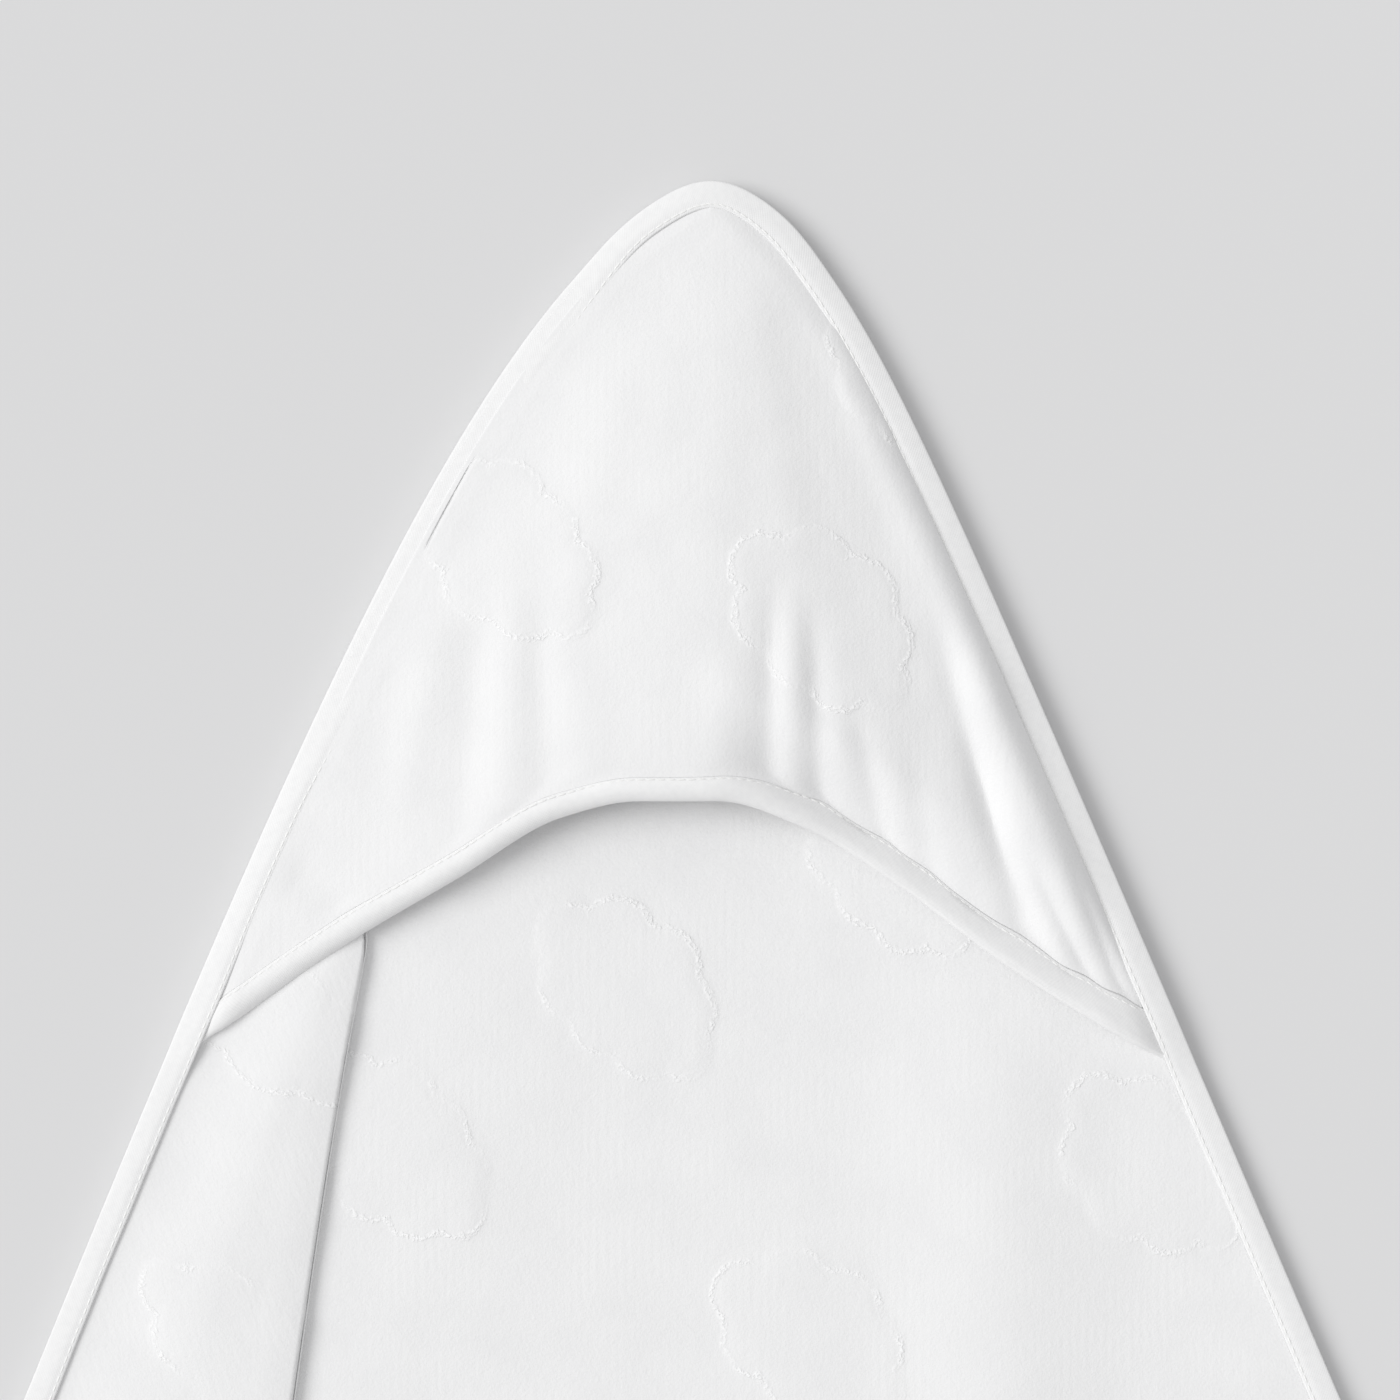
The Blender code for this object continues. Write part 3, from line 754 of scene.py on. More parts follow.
@dataclass(frozen=True)
class Velour(Finish):
    """White cotton velour with knitted cloud outlines."""

    pile_depth: float = 0.26
    rows: float = 0.55
    line_height: float = 0.05
    loop_height: float = 0.16
    line_width: float = 1.4
    # Painted highlight: the brighter white that the outline's loops are tinted, standing in for light caught on
    # their raised tops
    loop_highlight_color: tuple[float, float, float] = (0.95, 0.95, 0.95)

    def build(self) -> bpy.types.Material:
        """The material. It reads the cloth's "lay" and "motif" attributes."""
        made, tree, shader = self.start()
        lay = node(tree, "ShaderNodeAttribute", attribute_name="lay").outputs["Vector"]
        motif = node(tree, "ShaderNodeAttribute", attribute_name="motif").outputs["Fac"]
        pile = node(tree, "ShaderNodeGroup", node_tree=shared("pile"))
        line = node(tree, "ShaderNodeGroup", node_tree=shared("motif line"))
        for key, value in {"Rows": self.rows, "Depth": self.pile_depth}.items():
            pile.inputs[key].default_value = value
        line.inputs["Width"].default_value = self.line_width
        tree.links.new(lay, pile.inputs["Place"])
        tree.links.new(lay, line.inputs["Place"])
        tree.links.new(motif, line.inputs["Distance"])
        low = pile.outputs["Height"]
        height = math_node(tree, "MULTIPLY_ADD", line.outputs["Line"], self.line_height, low)
        height = math_node(tree, "MULTIPLY_ADD", line.outputs["Loops"], self.loop_height, height)
        self.bump(tree, shader, height)
        ground = self.tint(tree, shader, ramp_node(tree, pile.outputs["Mottle"], 0.32, 0.6))
        # Painted highlight: where the loops stand, the base colour is tinted brighter on top of their bump, as if
        # lit
        ground_with_loop_highlight = mix_node(tree, line.outputs["Loops"], ground, self.loop_highlight_color)
        tree.links.new(ground_with_loop_highlight, shader.inputs["Base Color"])
        return made


@dataclass(frozen=True)
class Tape(Finish):
    """Smooth cotton bias tape, or another close weave."""

    thread: float = 0.0005
    depth: float = 0.05

    def build(self) -> bpy.types.Material:
        """The material. It reads the tape's "lay" attribute."""
        made, tree, shader = self.start()
        lay = node(tree, "ShaderNodeAttribute", attribute_name="lay").outputs["Vector"]
        weave = node(tree, "ShaderNodeGroup", node_tree=shared("weave"))
        weave.inputs["Thread"].default_value = self.thread
        tree.links.new(lay, weave.inputs["Place"])
        self.bump(tree, shader, math_node(tree, "MULTIPLY", weave.outputs["Height"], self.depth))
        self.tint(tree, shader, ramp_node(tree, weave.outputs["Slub"], 0.35, 0.6))
        return made


@dataclass(frozen=True)
class Thread(Finish):
    """Twisted sewing thread."""

    twist_height: float = 0.06

    def build(self) -> bpy.types.Material:
        """The material, with a fine twist in Object coordinates."""
        made, tree, shader = self.start()
        place = node(tree, "ShaderNodeTexCoord").outputs["Object"]
        twist = noise_node(tree, place, 2600.0, 1.0)
        self.bump(tree, shader, math_node(tree, "MULTIPLY", twist, self.twist_height))
        self.tint(tree, shader, ramp_node(tree, twist, 0.4, 0.6))
        return made


@dataclass(frozen=True)
class Paper(Finish):
    """The pale, even surface that the towel lies on."""

    def build(self) -> bpy.types.Material:
        """The material."""
        made, tree, shader = self.start()
        place = node(tree, "ShaderNodeTexCoord").outputs["Object"]
        self.tint(tree, shader, noise_node(tree, place, 3.0, 3.0))
        return made


GROUP_MAKERS: dict[str, Callable[[], bpy.types.NodeTree]] = {
    "pile": pile_group,
    "motif line": motif_group,
    "weave": weave_group,
}


def shared(name: str) -> bpy.types.NodeTree:
    """The shared shader group of that name, made on first use."""
    return bpy.data.node_groups.get(name) or GROUP_MAKERS[name]()


def material_of(finish: Finish) -> bpy.types.Material:
    """The material of a finish, made on first use."""
    return bpy.data.materials.get(finish.name) or finish.build()


VELOUR = Velour("velour", "terry", (0.868, 0.868, 0.868), (0.838, 0.838, 0.84), 0.95, 0.08)
TAPE = Tape("bias tape", "tape", (0.885, 0.885, 0.883), (0.862, 0.862, 0.862), 0.85, 0.08)
THREAD = Thread("thread", "thread", (0.95, 0.95, 0.945), (0.90, 0.90, 0.90), 0.6, 0.1)
LABEL = Tape(
    "label satin", "label", (0.93, 0.93, 0.925), (0.90, 0.90, 0.895), 0.45, 0.1, thread=0.0003, depth=0.02
)
PAPER = Paper("paper", "", (0.722, 0.722, 0.724), (0.712, 0.712, 0.714), 0.9, 0.0)


# ---------------------------------------------------------------- the towel's pieces


@dataclass(frozen=True)
class ClothPiece:
    """One piece of cloth: its object, and its width, length and area when flat, in metres."""

    piece: bpy.types.Object
    flat: tuple[float, float]
    area: float


def raised(motif: np.ndarray, height: float) -> np.ndarray:
    """How much higher the cloth stands inside a motif, from signed distances to its outline."""
    outer, slope = 1.5, 4.0
    return height * smooth((outer - motif) / slope)


@dataclass
class TowelCloth:
    """The towel panel: one cloth with a pleat in it, divided along the fold lines into four pieces."""

    layout: Layout
    outline: TowelOutline
    folds: SoftFolds
    pleat: Pleat
    clouds: Clouds
    thickness: float = 3.6
    pressed: float = 0.56
    underside: float = 1.1
    edge_inset: float = 2.2
    row_step: float = 3.5
    wing_columns: int = 62
    turn_columns: int = 6
    tuck_columns: int = 14
    panel_columns: int = 158
    end_margin: float = 4.0
    least_ramp: float = 8.0
    edge_clear: float = 9.0
    fold_drop: float = 0.2
    fold_round: float = 11.0
    end_columns: float = 14.0
    ripple_share: float = 0.8
    ripple_inset: float = 30.0
    pressed_reach: float = 34.0
    full_tuck: float = 7.0
    motif_height: float = 0.5
    bend_length: float = 60.0

    def surface(self) -> tuple[np.ndarray, np.ndarray, np.ndarray]:
        """The cloth's middle surface, its flat places and its thickness.

        Returns:
            Grids in millimetres: (x, d, z) of each point as it lies, (u, d) of it on the cut
            cloth, and the thickness there.
        """
        rows = round(self.outline.end / self.row_step)
        d = np.linspace(self.end_margin, self.outline.end - self.end_margin, rows)[:, None]
        left, left_d = self.outline.inset(Side.LEFT, d, self.edge_inset)
        right, right_d = self.outline.inset(Side.RIGHT, d, self.edge_inset)
        fold = self.pleat.fold_x(self.outline, d)
        tuck = self.pleat.overlap(self.outline, d)
        hidden = fold - tuck
        step = self.pleat.step(self.thickness * self.pressed, d)
        wing_x = mix(left, fold, np.linspace(0, 1, self.wing_columns + 1)[None, :])
        top_start = np.minimum(fold, hidden)
        ramp = np.clip(top_start - left - self.edge_clear, self.least_ramp, self.pleat.ramp)
        wing_z = step * smooth((wing_x - top_start + ramp) / ramp)
        near_fold = np.clip(1 - (fold - wing_x) / self.fold_round, 0.0, 1.0)
        wing_z = wing_z - self.fold_drop * step * near_fold**2
        tuck_x, tuck_z = self._tucked(fold, hidden, tuck, step)
        panel_x = mix(hidden, right, np.linspace(0, 1, self.panel_columns + 1)[None, 1:])
        x = np.concatenate([wing_x, tuck_x[:, 1:], panel_x], axis=1)
        z = np.concatenate([wing_z, tuck_z[:, 1:], np.zeros_like(panel_x)], axis=1)
        u_wing = wing_x - 2 * np.maximum(tuck, 0.0)
        u_tuck = np.where(tuck > 0, 2 * hidden - tuck_x[:, 1:], tuck_x[:, 1:])
        u = np.concatenate([u_wing, u_tuck, panel_x], axis=1)
        share = np.linspace(0, 1, x.shape[1])[None, :]
        near_left = smooth(1 - share * self.end_columns)
        near_right = smooth((share - 1) * self.end_columns + 1)
        down = d + (left_d - d) * near_left + (right_d - d) * near_right
        z = z + self.underside + self.thickness / 2 + self.folds.height(x, down)
        from_left, from_right = x - self.outline.x_at(Side.LEFT, d), self.outline.x_at(Side.RIGHT, d) - x
        inside = smooth(np.minimum(from_left, from_right) / self.ripple_inset)
        z = z + inside * self.folds.ripple(u, down) * self.ripple_share
        outside = np.maximum(np.maximum(top_start - x, x - np.maximum(fold, hidden)), 0.0)
        near_pleat = smooth(1 - outside / self.pressed_reach) * curve_through(self.pleat.risen, d)
        thickness = self.thickness * mix(1.0, self.pressed, near_pleat)
        return np.stack([x, down, z], axis=-1), np.stack([u, down], axis=-1), thickness

    def _tucked(
        self, fold: np.ndarray, hidden: np.ndarray, tuck: np.ndarray, step: np.ndarray
    ) -> tuple[np.ndarray, np.ndarray]:
        """The part between the top layer and the panel, row by row.

        Args:
            fold: x of the visible fold.
            hidden: x of the fold underneath, where the cloth turns out again.
            tuck: How far back it runs, below 0 where there is no pleat.
            step: Height of the top layer over the panel.

        Returns:
            Its x and its height.
        """
        turn = np.linspace(math.pi / 2, -math.pi / 2, self.turn_columns + 1)[None, :]
        radius = step / 4
        out_x, out_z = fold - radius + radius * np.cos(turn), 0.75 * step + radius * np.sin(turn)
        out_z = out_z - self.fold_drop * step * (1 + np.sin(turn)) / 2
        back_x, back_z = hidden + radius - radius * np.cos(turn), 0.25 * step + radius * np.sin(turn)
        along = np.linspace(0, 1, self.tuck_columns + 1)[None, 1:-1]
        flat_x = mix(out_x[:, -1:], back_x[:, :1], along)
        flat_z = mix(out_z[:, -1:], back_z[:, :1], along)
        folded = tuple(
            np.concatenate(parts, axis=1) for parts in ((out_x, flat_x, back_x), (out_z, flat_z, back_z))
        )
        share = np.linspace(0, 1, folded[0].shape[1])[None, :]
        sloped = mix(fold, hidden, share), step * (1 - smooth(share))
        over = smooth(tuck / self.full_tuck)
        return mix(sloped[0], folded[0], over), mix(sloped[1], folded[1], over)

    def build(self) -> dict[Region, ClothPiece]:
        """Makes the four cloth pieces and ties them to their bodies."""
        place, flat, thickness = self.surface()
        motif = self.clouds.distance(flat[..., 0], flat[..., 1], self.clouds.spread(self.clouds.towel))
        place[..., 2] += raised(motif, self.motif_height)
        points = self.layout.world(place[..., 0], place[..., 1], place[..., 2])
        lay = np.concatenate([flat, np.zeros_like(flat[..., :1])], axis=-1) * MM
        whole = thick_sheet(points, thickness * MM, {"motif": motif, "lay": lay})
        cut = np.abs(np.gradient(flat[..., 0], axis=1) * np.gradient(flat[..., 1], axis=0))
        where = self.layout.region_of(place[..., 0], place[..., 1])
        made: dict[Region, ClothPiece] = {}
        for number, region in enumerate(Region):
            name = f"towel_{region.value}"
            piece = mesh_object(name, divided(whole, self.layout, region), material_of(VELOUR))
            tie(piece, region, self.layout, self.bend_length)
            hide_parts(f"towel_panel_{region.value}")
            inside = where == number
            width, length = (float(np.ptp(flat[inside][:, k])) * MM for k in (0, 1))
            area = min(float(cut[inside].sum()) * MM**2, width * length)
            made[region] = ClothPiece(piece, (width, length), area)
            log.info("%s: flat %.3f x %.3f m", name, width, length)
        whole.free()
        return made


def divided(whole: bmesh.types.BMesh, layout: Layout, region: Region) -> bmesh.types.BMesh:
    """A copy of a closed mesh that holds one region of it, closed again where it was cut."""
    bm = whole.copy()
    for place, clear in layout.planes(region):
        everything = bm.verts[:] + bm.edges[:] + bm.faces[:]
        bmesh.ops.bisect_plane(bm, geom=everything, plane_co=place, plane_no=clear, clear_outer=True)
        cut = [e for e in bm.edges if e.is_boundary]
        for edge in cut:
            edge.smooth = False
        caps = bmesh.ops.edgeloop_fill(bm, edges=cut)["faces"]
        bmesh.ops.triangulate(bm, faces=caps, ngon_method="EAR_CLIP")
    bmesh.ops.recalc_face_normals(bm, faces=bm.faces[:])
    return bm


def tie(piece: bpy.types.Object, region: Region, layout: Layout, length: float) -> None:
    """Ties a piece to its body. Outside the centre it bends over a length from its fold line."""
    if region is Region.CENTRE:
        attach(piece, region.value)
        return
    start, clear = layout.planes(region)[-1]
    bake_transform(piece, Region.CENTRE.value, region.value, start=start[:], end=(start - clear * length * MM)[:])


@dataclass
class EdgeTape:
    """Bias tape folded round the towel's edge, with its row of stitches."""

    layout: Layout
    outline: TowelOutline
    folds: SoftFolds
    width: float = 8.4
    wide_left: float = 4.0
    wide_range: tuple[float, float, float] = (70.0, 130.0, 60.0)
    uneven: float = 0.35
    step: float = 3.0
    slot_low: float = 1.0
    slot_high: float = 4.8
    slot_inset: float = 1.9
    crown: float = 6.0
    tilt: float = 0.38
    puff: float = 0.22
    seam_depth: float = 0.3
    seam_width: float = 0.9
    face_shares: tuple[float, ...] = (1.0, 0.93, 0.85, 0.74, 0.6, 0.45, 0.3, 0.18, 0.08, 0.02)
    face_end_drop: float = 0.35
    # The face underneath: (distance inward, height)
    under_side: tuple[tuple[float, float], ...] = ((0.4, 0.6), (1.4, 0.15), (4.0, 0.05), (8.0, 0.15))
    hood_lift: float = 2.1
    left_lift: float = 0.4
    hood_end: float = 262.0
    lift_fade: tuple[float, float] = (6.0, 20.0)
    edge_radius: float = 2.6
    stitch_inset: float = 1.1
    stitch_pitch: float = 3.1
    stitch_length: float = 2.6
    thread_radius: float = 0.26
    bend_length: float = 60.0

    def stations(self, step: float) -> tuple[np.ndarray, np.ndarray, np.ndarray]:
        """Places round the edge, the inward direction at each and the run along the edge."""
        ring = self.outline.loop(step)
        along = np.roll(ring, -1, axis=0) - np.roll(ring, 1, axis=0)
        along /= np.linalg.norm(along, axis=1, keepdims=True)
        inward = np.stack([-along[:, 1], along[:, 0]], axis=-1)
        run = np.arange(len(ring)) * step
        return ring, inward, run

    def width_at(self, ring: np.ndarray) -> np.ndarray:
        """Width of the tape's face: wider along the upper left edge, and a little uneven."""
        left = ring[:, 0] < 0
        wide = self.wide_left * window(ring[:, 1], *self.wide_range) * left
        return self.width + wide + self.uneven * noise_at(ring, 26.0, 1.7)

    def top_at(self, ring: np.ndarray, u: np.ndarray) -> np.ndarray:
        """Height of the tape's face above the top of the slot.

        Args:
            ring: Plan points of the outer edge.
            u: Distances inward from each, stations by distances.

        Returns:
            Heights in millimetres, of the shape of u.
        """
        width = self.width_at(ring)[:, None]
        share = np.clip(u / width, 0, 1)
        crown = (self.crown - self.slot_high) * (0.5 + 0.5 * smooth(share * 1.2))
        slope = self.seam_lift(ring) * self.tilt * (1 - share)
        seam = self.seam_depth * np.exp(-(((width - self.stitch_inset - u) / self.seam_width) ** 2))
        round_edge = np.sqrt(np.clip(1 - (1 - np.clip(u / self.edge_radius, 0, 1)) ** 2, 0, 1))
        puff = self.puff * noise_at(ring, 14.0, 5.5)[:, None] * np.sin(math.pi * share)
        return (crown - seam + puff) * mix(0.2, 1.0, round_edge) - slope

    def base_at(self, ring: np.ndarray) -> np.ndarray:
        """How far the towel's edge is lifted by its soft folds."""
        return self.folds.height(ring[:, 0], ring[:, 1])[:, None]

    def seam_lift(self, ring: np.ndarray) -> np.ndarray:
        """Extra height of the face where the hood is caught in the tape too."""
        lift = self.hood_lift + self.left_lift * (ring[:, 0] < 0) * smooth(ring[:, 1] / 40.0)
        past, fade = self.lift_fade
        return (lift * smooth((self.hood_end + past - ring[:, 1]) / fade))[:, None]

    def sections(self) -> tuple[np.ndarray, np.ndarray]:
        """The tape's closed sections round the whole edge.

        Returns:
            Places in metres, stations by points, and their places on the flat tape.
        """
        ring, inward, run = self.stations(self.step)
        width = self.width_at(ring)[:, None]
        nothing = np.zeros_like(width)
        u_top = np.array(self.face_shares)[None, :] * width
        z_top = self.slot_high + self.seam_lift(ring) + self.top_at(ring, u_top)
        z_top[:, 0] -= self.face_end_drop
        z_edge = (self.slot_low + z_top[:, -1:]) / 2
        u_low, z_low = (np.array(part)[None, :] + nothing for part in zip(*self.under_side))
        slot_end = nothing + self.slot_inset
        u_in = np.concatenate([nothing + self.under_side[-1][0], slot_end, slot_end, width], axis=1)
        low, high = nothing + self.slot_low, self.slot_high + self.seam_lift(ring)
        z_in = np.concatenate([low, low, high - 0.1, high - 0.15], axis=1)
        u = np.concatenate([u_top, nothing, u_low, u_in], axis=1)
        z = np.concatenate([z_top, z_edge, z_low, z_in], axis=1)
        across = np.hypot(np.diff(u, axis=1, prepend=u[:, :1]), np.diff(z, axis=1, prepend=z[:, :1]))
        along = np.minimum(run, run[-1] + self.step - run)[:, None]
        lay = np.stack([along + 0 * u, np.cumsum(across, axis=1), 0 * u], axis=-1) * MM
        x = ring[:, :1] + inward[:, :1] * u
        d = ring[:, 1:] + inward[:, 1:] * u
        return self.layout.world(x, d, z + self.base_at(ring)), lay

    def stitches(self) -> dict[Region, bmesh.types.BMesh]:
        """Stitches one after another along the tape's inner edge, by region."""
        ring, inward, _ = self.stations(self.stitch_pitch)
        u = (self.width_at(ring) - self.stitch_inset)[:, None]
        z = self.slot_high + self.seam_lift(ring) + self.top_at(ring, u) + self.base_at(ring)
        x, d = ring[:, :1] + inward[:, :1] * u, ring[:, 1:] + inward[:, 1:] * u
        spots = self.layout.world(x, d, z)[:, 0]
        regions = self.layout.region_of(x[:, 0], d[:, 0])
        kinds = list(Region)
        made = {region: bmesh.new() for region in Region}
        for spot, after, region in zip(spots, np.roll(spots, -1, axis=0), regions):
            row = made[kinds[region]]
            add_stitch(row, Vector(spot), Vector(after), self.stitch_length, self.thread_radius)
        return made

    def build(self) -> dict[Region, list[bpy.types.Object]]:
        """Makes the tape and stitches of each region and ties them to their bodies."""
        sections, lay = self.sections()
        whole = swept_band(sections, True, lay)
        rows = self.stitches()
        made = {}
        for region in Region:
            parts = {
                "edge_tape": (divided(whole, self.layout, region), TAPE, "binding"),
                "edge_stitching": (rows[region], THREAD, "binding_stitches"),
            }
            made[region] = []
            for prefix, (bm, finish, name) in parts.items():
                piece = mesh_object(f"{name}_{region.value}", bm, material_of(finish))
                tie(piece, region, self.layout, self.bend_length)
                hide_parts(f"{prefix}_{region.value}")
                made[region].append(piece)
                log.info("%s: %d faces", piece.name, len(piece.data.polygons))
        whole.free()
        return made


def add_stitch(bm: bmesh.types.BMesh, start: Vector, toward: Vector, length: float, radius: float) -> None:
    """Adds one stitch to a bmesh: a short rounded thread that dips into the cloth at both ends.

    Args:
        bm: Where to add it.
        start: Middle of the stitch, in metres.
        toward: A point that it runs towards.
        length: Its length in millimetres.
        radius: Its radius in millimetres.
    """
    along = (toward - start).normalized()
    up = (Vector((0, 0, 1)) - along * along.z).normalized()
    turn = Matrix((along, up.cross(along), up)).transposed().to_4x4()
    scale = Matrix.Diagonal((length / 2 * MM, radius * 1.15 * MM, radius * MM, 1.0))
    matrix = Matrix.Translation(start) @ turn @ scale
    matrix = matrix @ Matrix.Rotation(math.pi / 2, 4, "Y")
    bmesh.ops.create_uvsphere(bm, u_segments=6, v_segments=5, radius=1.0, matrix=matrix)


@dataclass
class Hood:
    """The hood: a triangular panel caught in the towel's binding, open along a bound mouth."""

    layout: Layout
    outline: TowelOutline
    clouds: Clouds
    tip_drop: float = 2.0
    leg_drop: float = 258.0
    seam_inset: float = 5.6
    cut_share: float = 0.46
    thickness: float = 3.4
    seat: float = 6.3
    edge_seat: float = 5.8
    left_lift: float = 1.0
    edge_thinning: float = 0.6
    rise: float = 15.0
    columns: int = 150
    rows: int = 124
    profile: tuple = (
        (0.0, 0.0), (0.12, 0.17), (0.25, 0.46), (0.36, 0.7), (0.48, 0.92), (0.57, 1.0),
        (0.66, 0.92), (0.78, 0.66), (0.88, 0.48), (0.94, 0.47), (1.0, 0.42),
    )
    roll_width: float = 12.0
    roll_inset: float = 2.8
    puff: float = 3.0
    opening: float = 0.85
    press: float = 12.0
    soft_from: float = 4.0
    soft_fade: float = 14.0
    rolled_back: float = 4.5
    rolled_drop: tuple[float, float] = (2.2, 0.2)
    motif_height: float = 0.45
    lip: float = 3.0
    lip_width: float = 11.0
    laid_share: float = 0.82
    laid_length: float = 42.0
    tape_width: float = 9.0
    stitch_pitch: float = 3.0
    stitch_length: float = 2.6
    thread_radius: float = 0.24
    mouth_width: float = 284.0
    mouth: tuple = (
        (0.0, 257), (0.15, 226), (0.27, 205), (0.38, 186), (0.46, 181), (0.54, 181),
        (0.62, 188), (0.72, 206), (0.82, 228), (0.92, 247), (1.0, 260),
    )
    # Creases: (x, d) to (x, d), half width, height
    creases: tuple = (
        ((18, 142), (17, 172), 4.6, -1.3), ((31, 150), (33, 180), 4.4, -1.4),
        ((24, 144), (25, 178), 4.0, 0.8), ((4, 158), (3, 178), 6.0, 0.6),
        ((48, 180), (53, 198), 4.2, -1.4), ((63, 190), (66, 206), 4.6, -0.9),
        ((73, 152), (82, 184), 4.8, -1.6), ((82, 184), (92, 218), 4.6, -2.2),
        ((83, 158), (103, 222), 10.0, 1.7), ((103, 218), (110, 232), 3.2, -1.8),
        ((115, 224), (121, 238), 2.8, -1.6), ((95, 216), (100, 228), 3.2, -1.2),
        ((-58, 144), (-60, 178), 6.5, 0.9), ((-84, 148), (-88, 170), 6.5, 0.8),
        ((-50, 146), (-48, 184), 5.0, -0.6), ((-70, 150), (-73, 186), 5.5, -0.7),
        ((-40, 150), (-36, 180), 7.0, 0.5), ((68, 96), (82, 138), 7.0, 1.2),
        ((-118, 210), (-98, 224), 6.0, -0.9), ((-30, 70), (-38, 120), 9.0, 0.5),
        ((14, 40), (24, 100), 8.0, 0.5),
    )
    crease_fade: float = 30.0

    def place(self, share: np.ndarray, t: np.ndarray) -> np.ndarray:
        """(x, d, z) in millimetres of the hood's middle surface.

        Args:
            share: From 0 at the left seam to 1 at the right one.
            t: From 0 at the tip to 1 at the mouth.
        """
        d_row = mix(self.tip_drop, self.leg_drop, t)
        left, left_d = self.outline.inset(Side.LEFT, d_row, self.seam_inset)
        right, right_d = self.outline.inset(Side.RIGHT, d_row, self.seam_inset)
        x = mix(left, right, share)
        late = mix(1.0, 1.35, smooth(4 * share * (1 - share)))
        pulled = (curve_through(self.mouth, share) - self.leg_drop) * t**late
        d = mix(left_d, right_d, share) + pulled
        return np.stack([x, d, self.height(x, d, share, t, right - left)], axis=-1)

    def height(
        self, x: np.ndarray, d: np.ndarray, share: np.ndarray, t: np.ndarray, width: np.ndarray
    ) -> np.ndarray:
        """Height of the hood's middle surface: an arch that opens towards the mouth, with its creases.

        Args:
            x: Distance across from the tip.
            d: Distance down from the tip.
            share: From 0 at the left seam to 1 at the right one.
            t: From 0 at the tip to 1 at the mouth.
            width: Distance between the seams there.

        Returns:
            Heights above the floor in millimetres.
        """
        from_left, from_right = share * width, (1 - share) * width
        back = (1 - t) * (self.leg_drop - self.tip_drop)
        turned = np.clip((from_right - self.roll_inset) / self.roll_width, 0, 1)
        side_roll = np.sqrt(np.clip(1 - (1 - turned) ** 2, 0.0, 1.0))
        arch = curve_through(self.profile, share) * side_roll
        right_half = smooth((share - 0.5) / 0.2)
        laid = self.laid_share * right_half * (1 - smooth((back - self.lip_width) / self.laid_length))
        puff = self.puff * smooth(t / 0.25) * (1 - smooth((t - 0.35) / 0.5)) * arch
        free = smooth(np.minimum(from_left, from_right) / self.press)
        seat = mix(self._seam_seat(from_left, t), self.seat, free)
        z = seat + (self.rise * smooth(t) ** self.opening * arch + puff) * (1 - laid)
        clear = smooth((from_left - self.soft_from) / self.soft_fade) * side_roll
        soft = clear * smooth((back - self.lip_width + 1) / 8.0)
        places = np.stack([x, d], axis=-1)
        z = z + clear * (0.5 * noise_at(places, 38.0, 11.0) + 0.28 * noise_at(places, 15.0, 4.0))
        z = z + soft * self._creased(x, d)
        rolled = np.clip(1 - back / self.rolled_back, 0.0, 1.0) ** 2
        ends = smooth(share / 0.08) * smooth((1 - share) / 0.08)
        lip = self.lip * smooth((share - 0.5) / 0.14) * np.clip(1 - back / self.lip_width, 0.0, 1.0)
        return z + ends * (lip - rolled * mix(*self.rolled_drop, right_half))

    def _seam_seat(self, from_left: np.ndarray, t: np.ndarray) -> np.ndarray:
        """Height of the hood where the seams hold it: lower at the mouth, higher along the left."""
        seat = self.edge_seat - 0.9 * smooth((t - 0.9) / 0.1) + 0.3 * (1 - smooth(t / 0.05))
        beside, run = smooth(1 - from_left / 30.0), (1 - smooth((t - 0.86) / 0.12)) * smooth(t / 0.1)
        return seat + self.left_lift * beside * run

    def _creased(self, x: np.ndarray, d: np.ndarray) -> np.ndarray:
        """Height added by the creases."""
        z = np.zeros_like(x)
        for (x0, d0), (x1, d1), half_width, depth in self.creases:
            length = math.hypot(x1 - x0, d1 - d0)
            along = ((x - x0) * (x1 - x0) + (d - d0) * (d1 - d0)) / length
            off = ((x - x0) * (d1 - d0) - (d - d0) * (x1 - x0)) / length
            run = window(along, 0.0, length, self.crease_fade)
            z = z + depth * run * np.exp(-((off / half_width) ** 2))
        return z

    @property
    def flat(self) -> tuple[float, float]:
        """Width along the mouth and depth to the tip of the flat panel, in metres."""
        corner = self.place(np.array([[0.0]]), np.array([[1.0]]))[0, 0, :2]
        leg = math.hypot(*(corner - (0.0, self.tip_drop)))
        return math.sqrt(2) * leg * MM, leg / math.sqrt(2) * MM

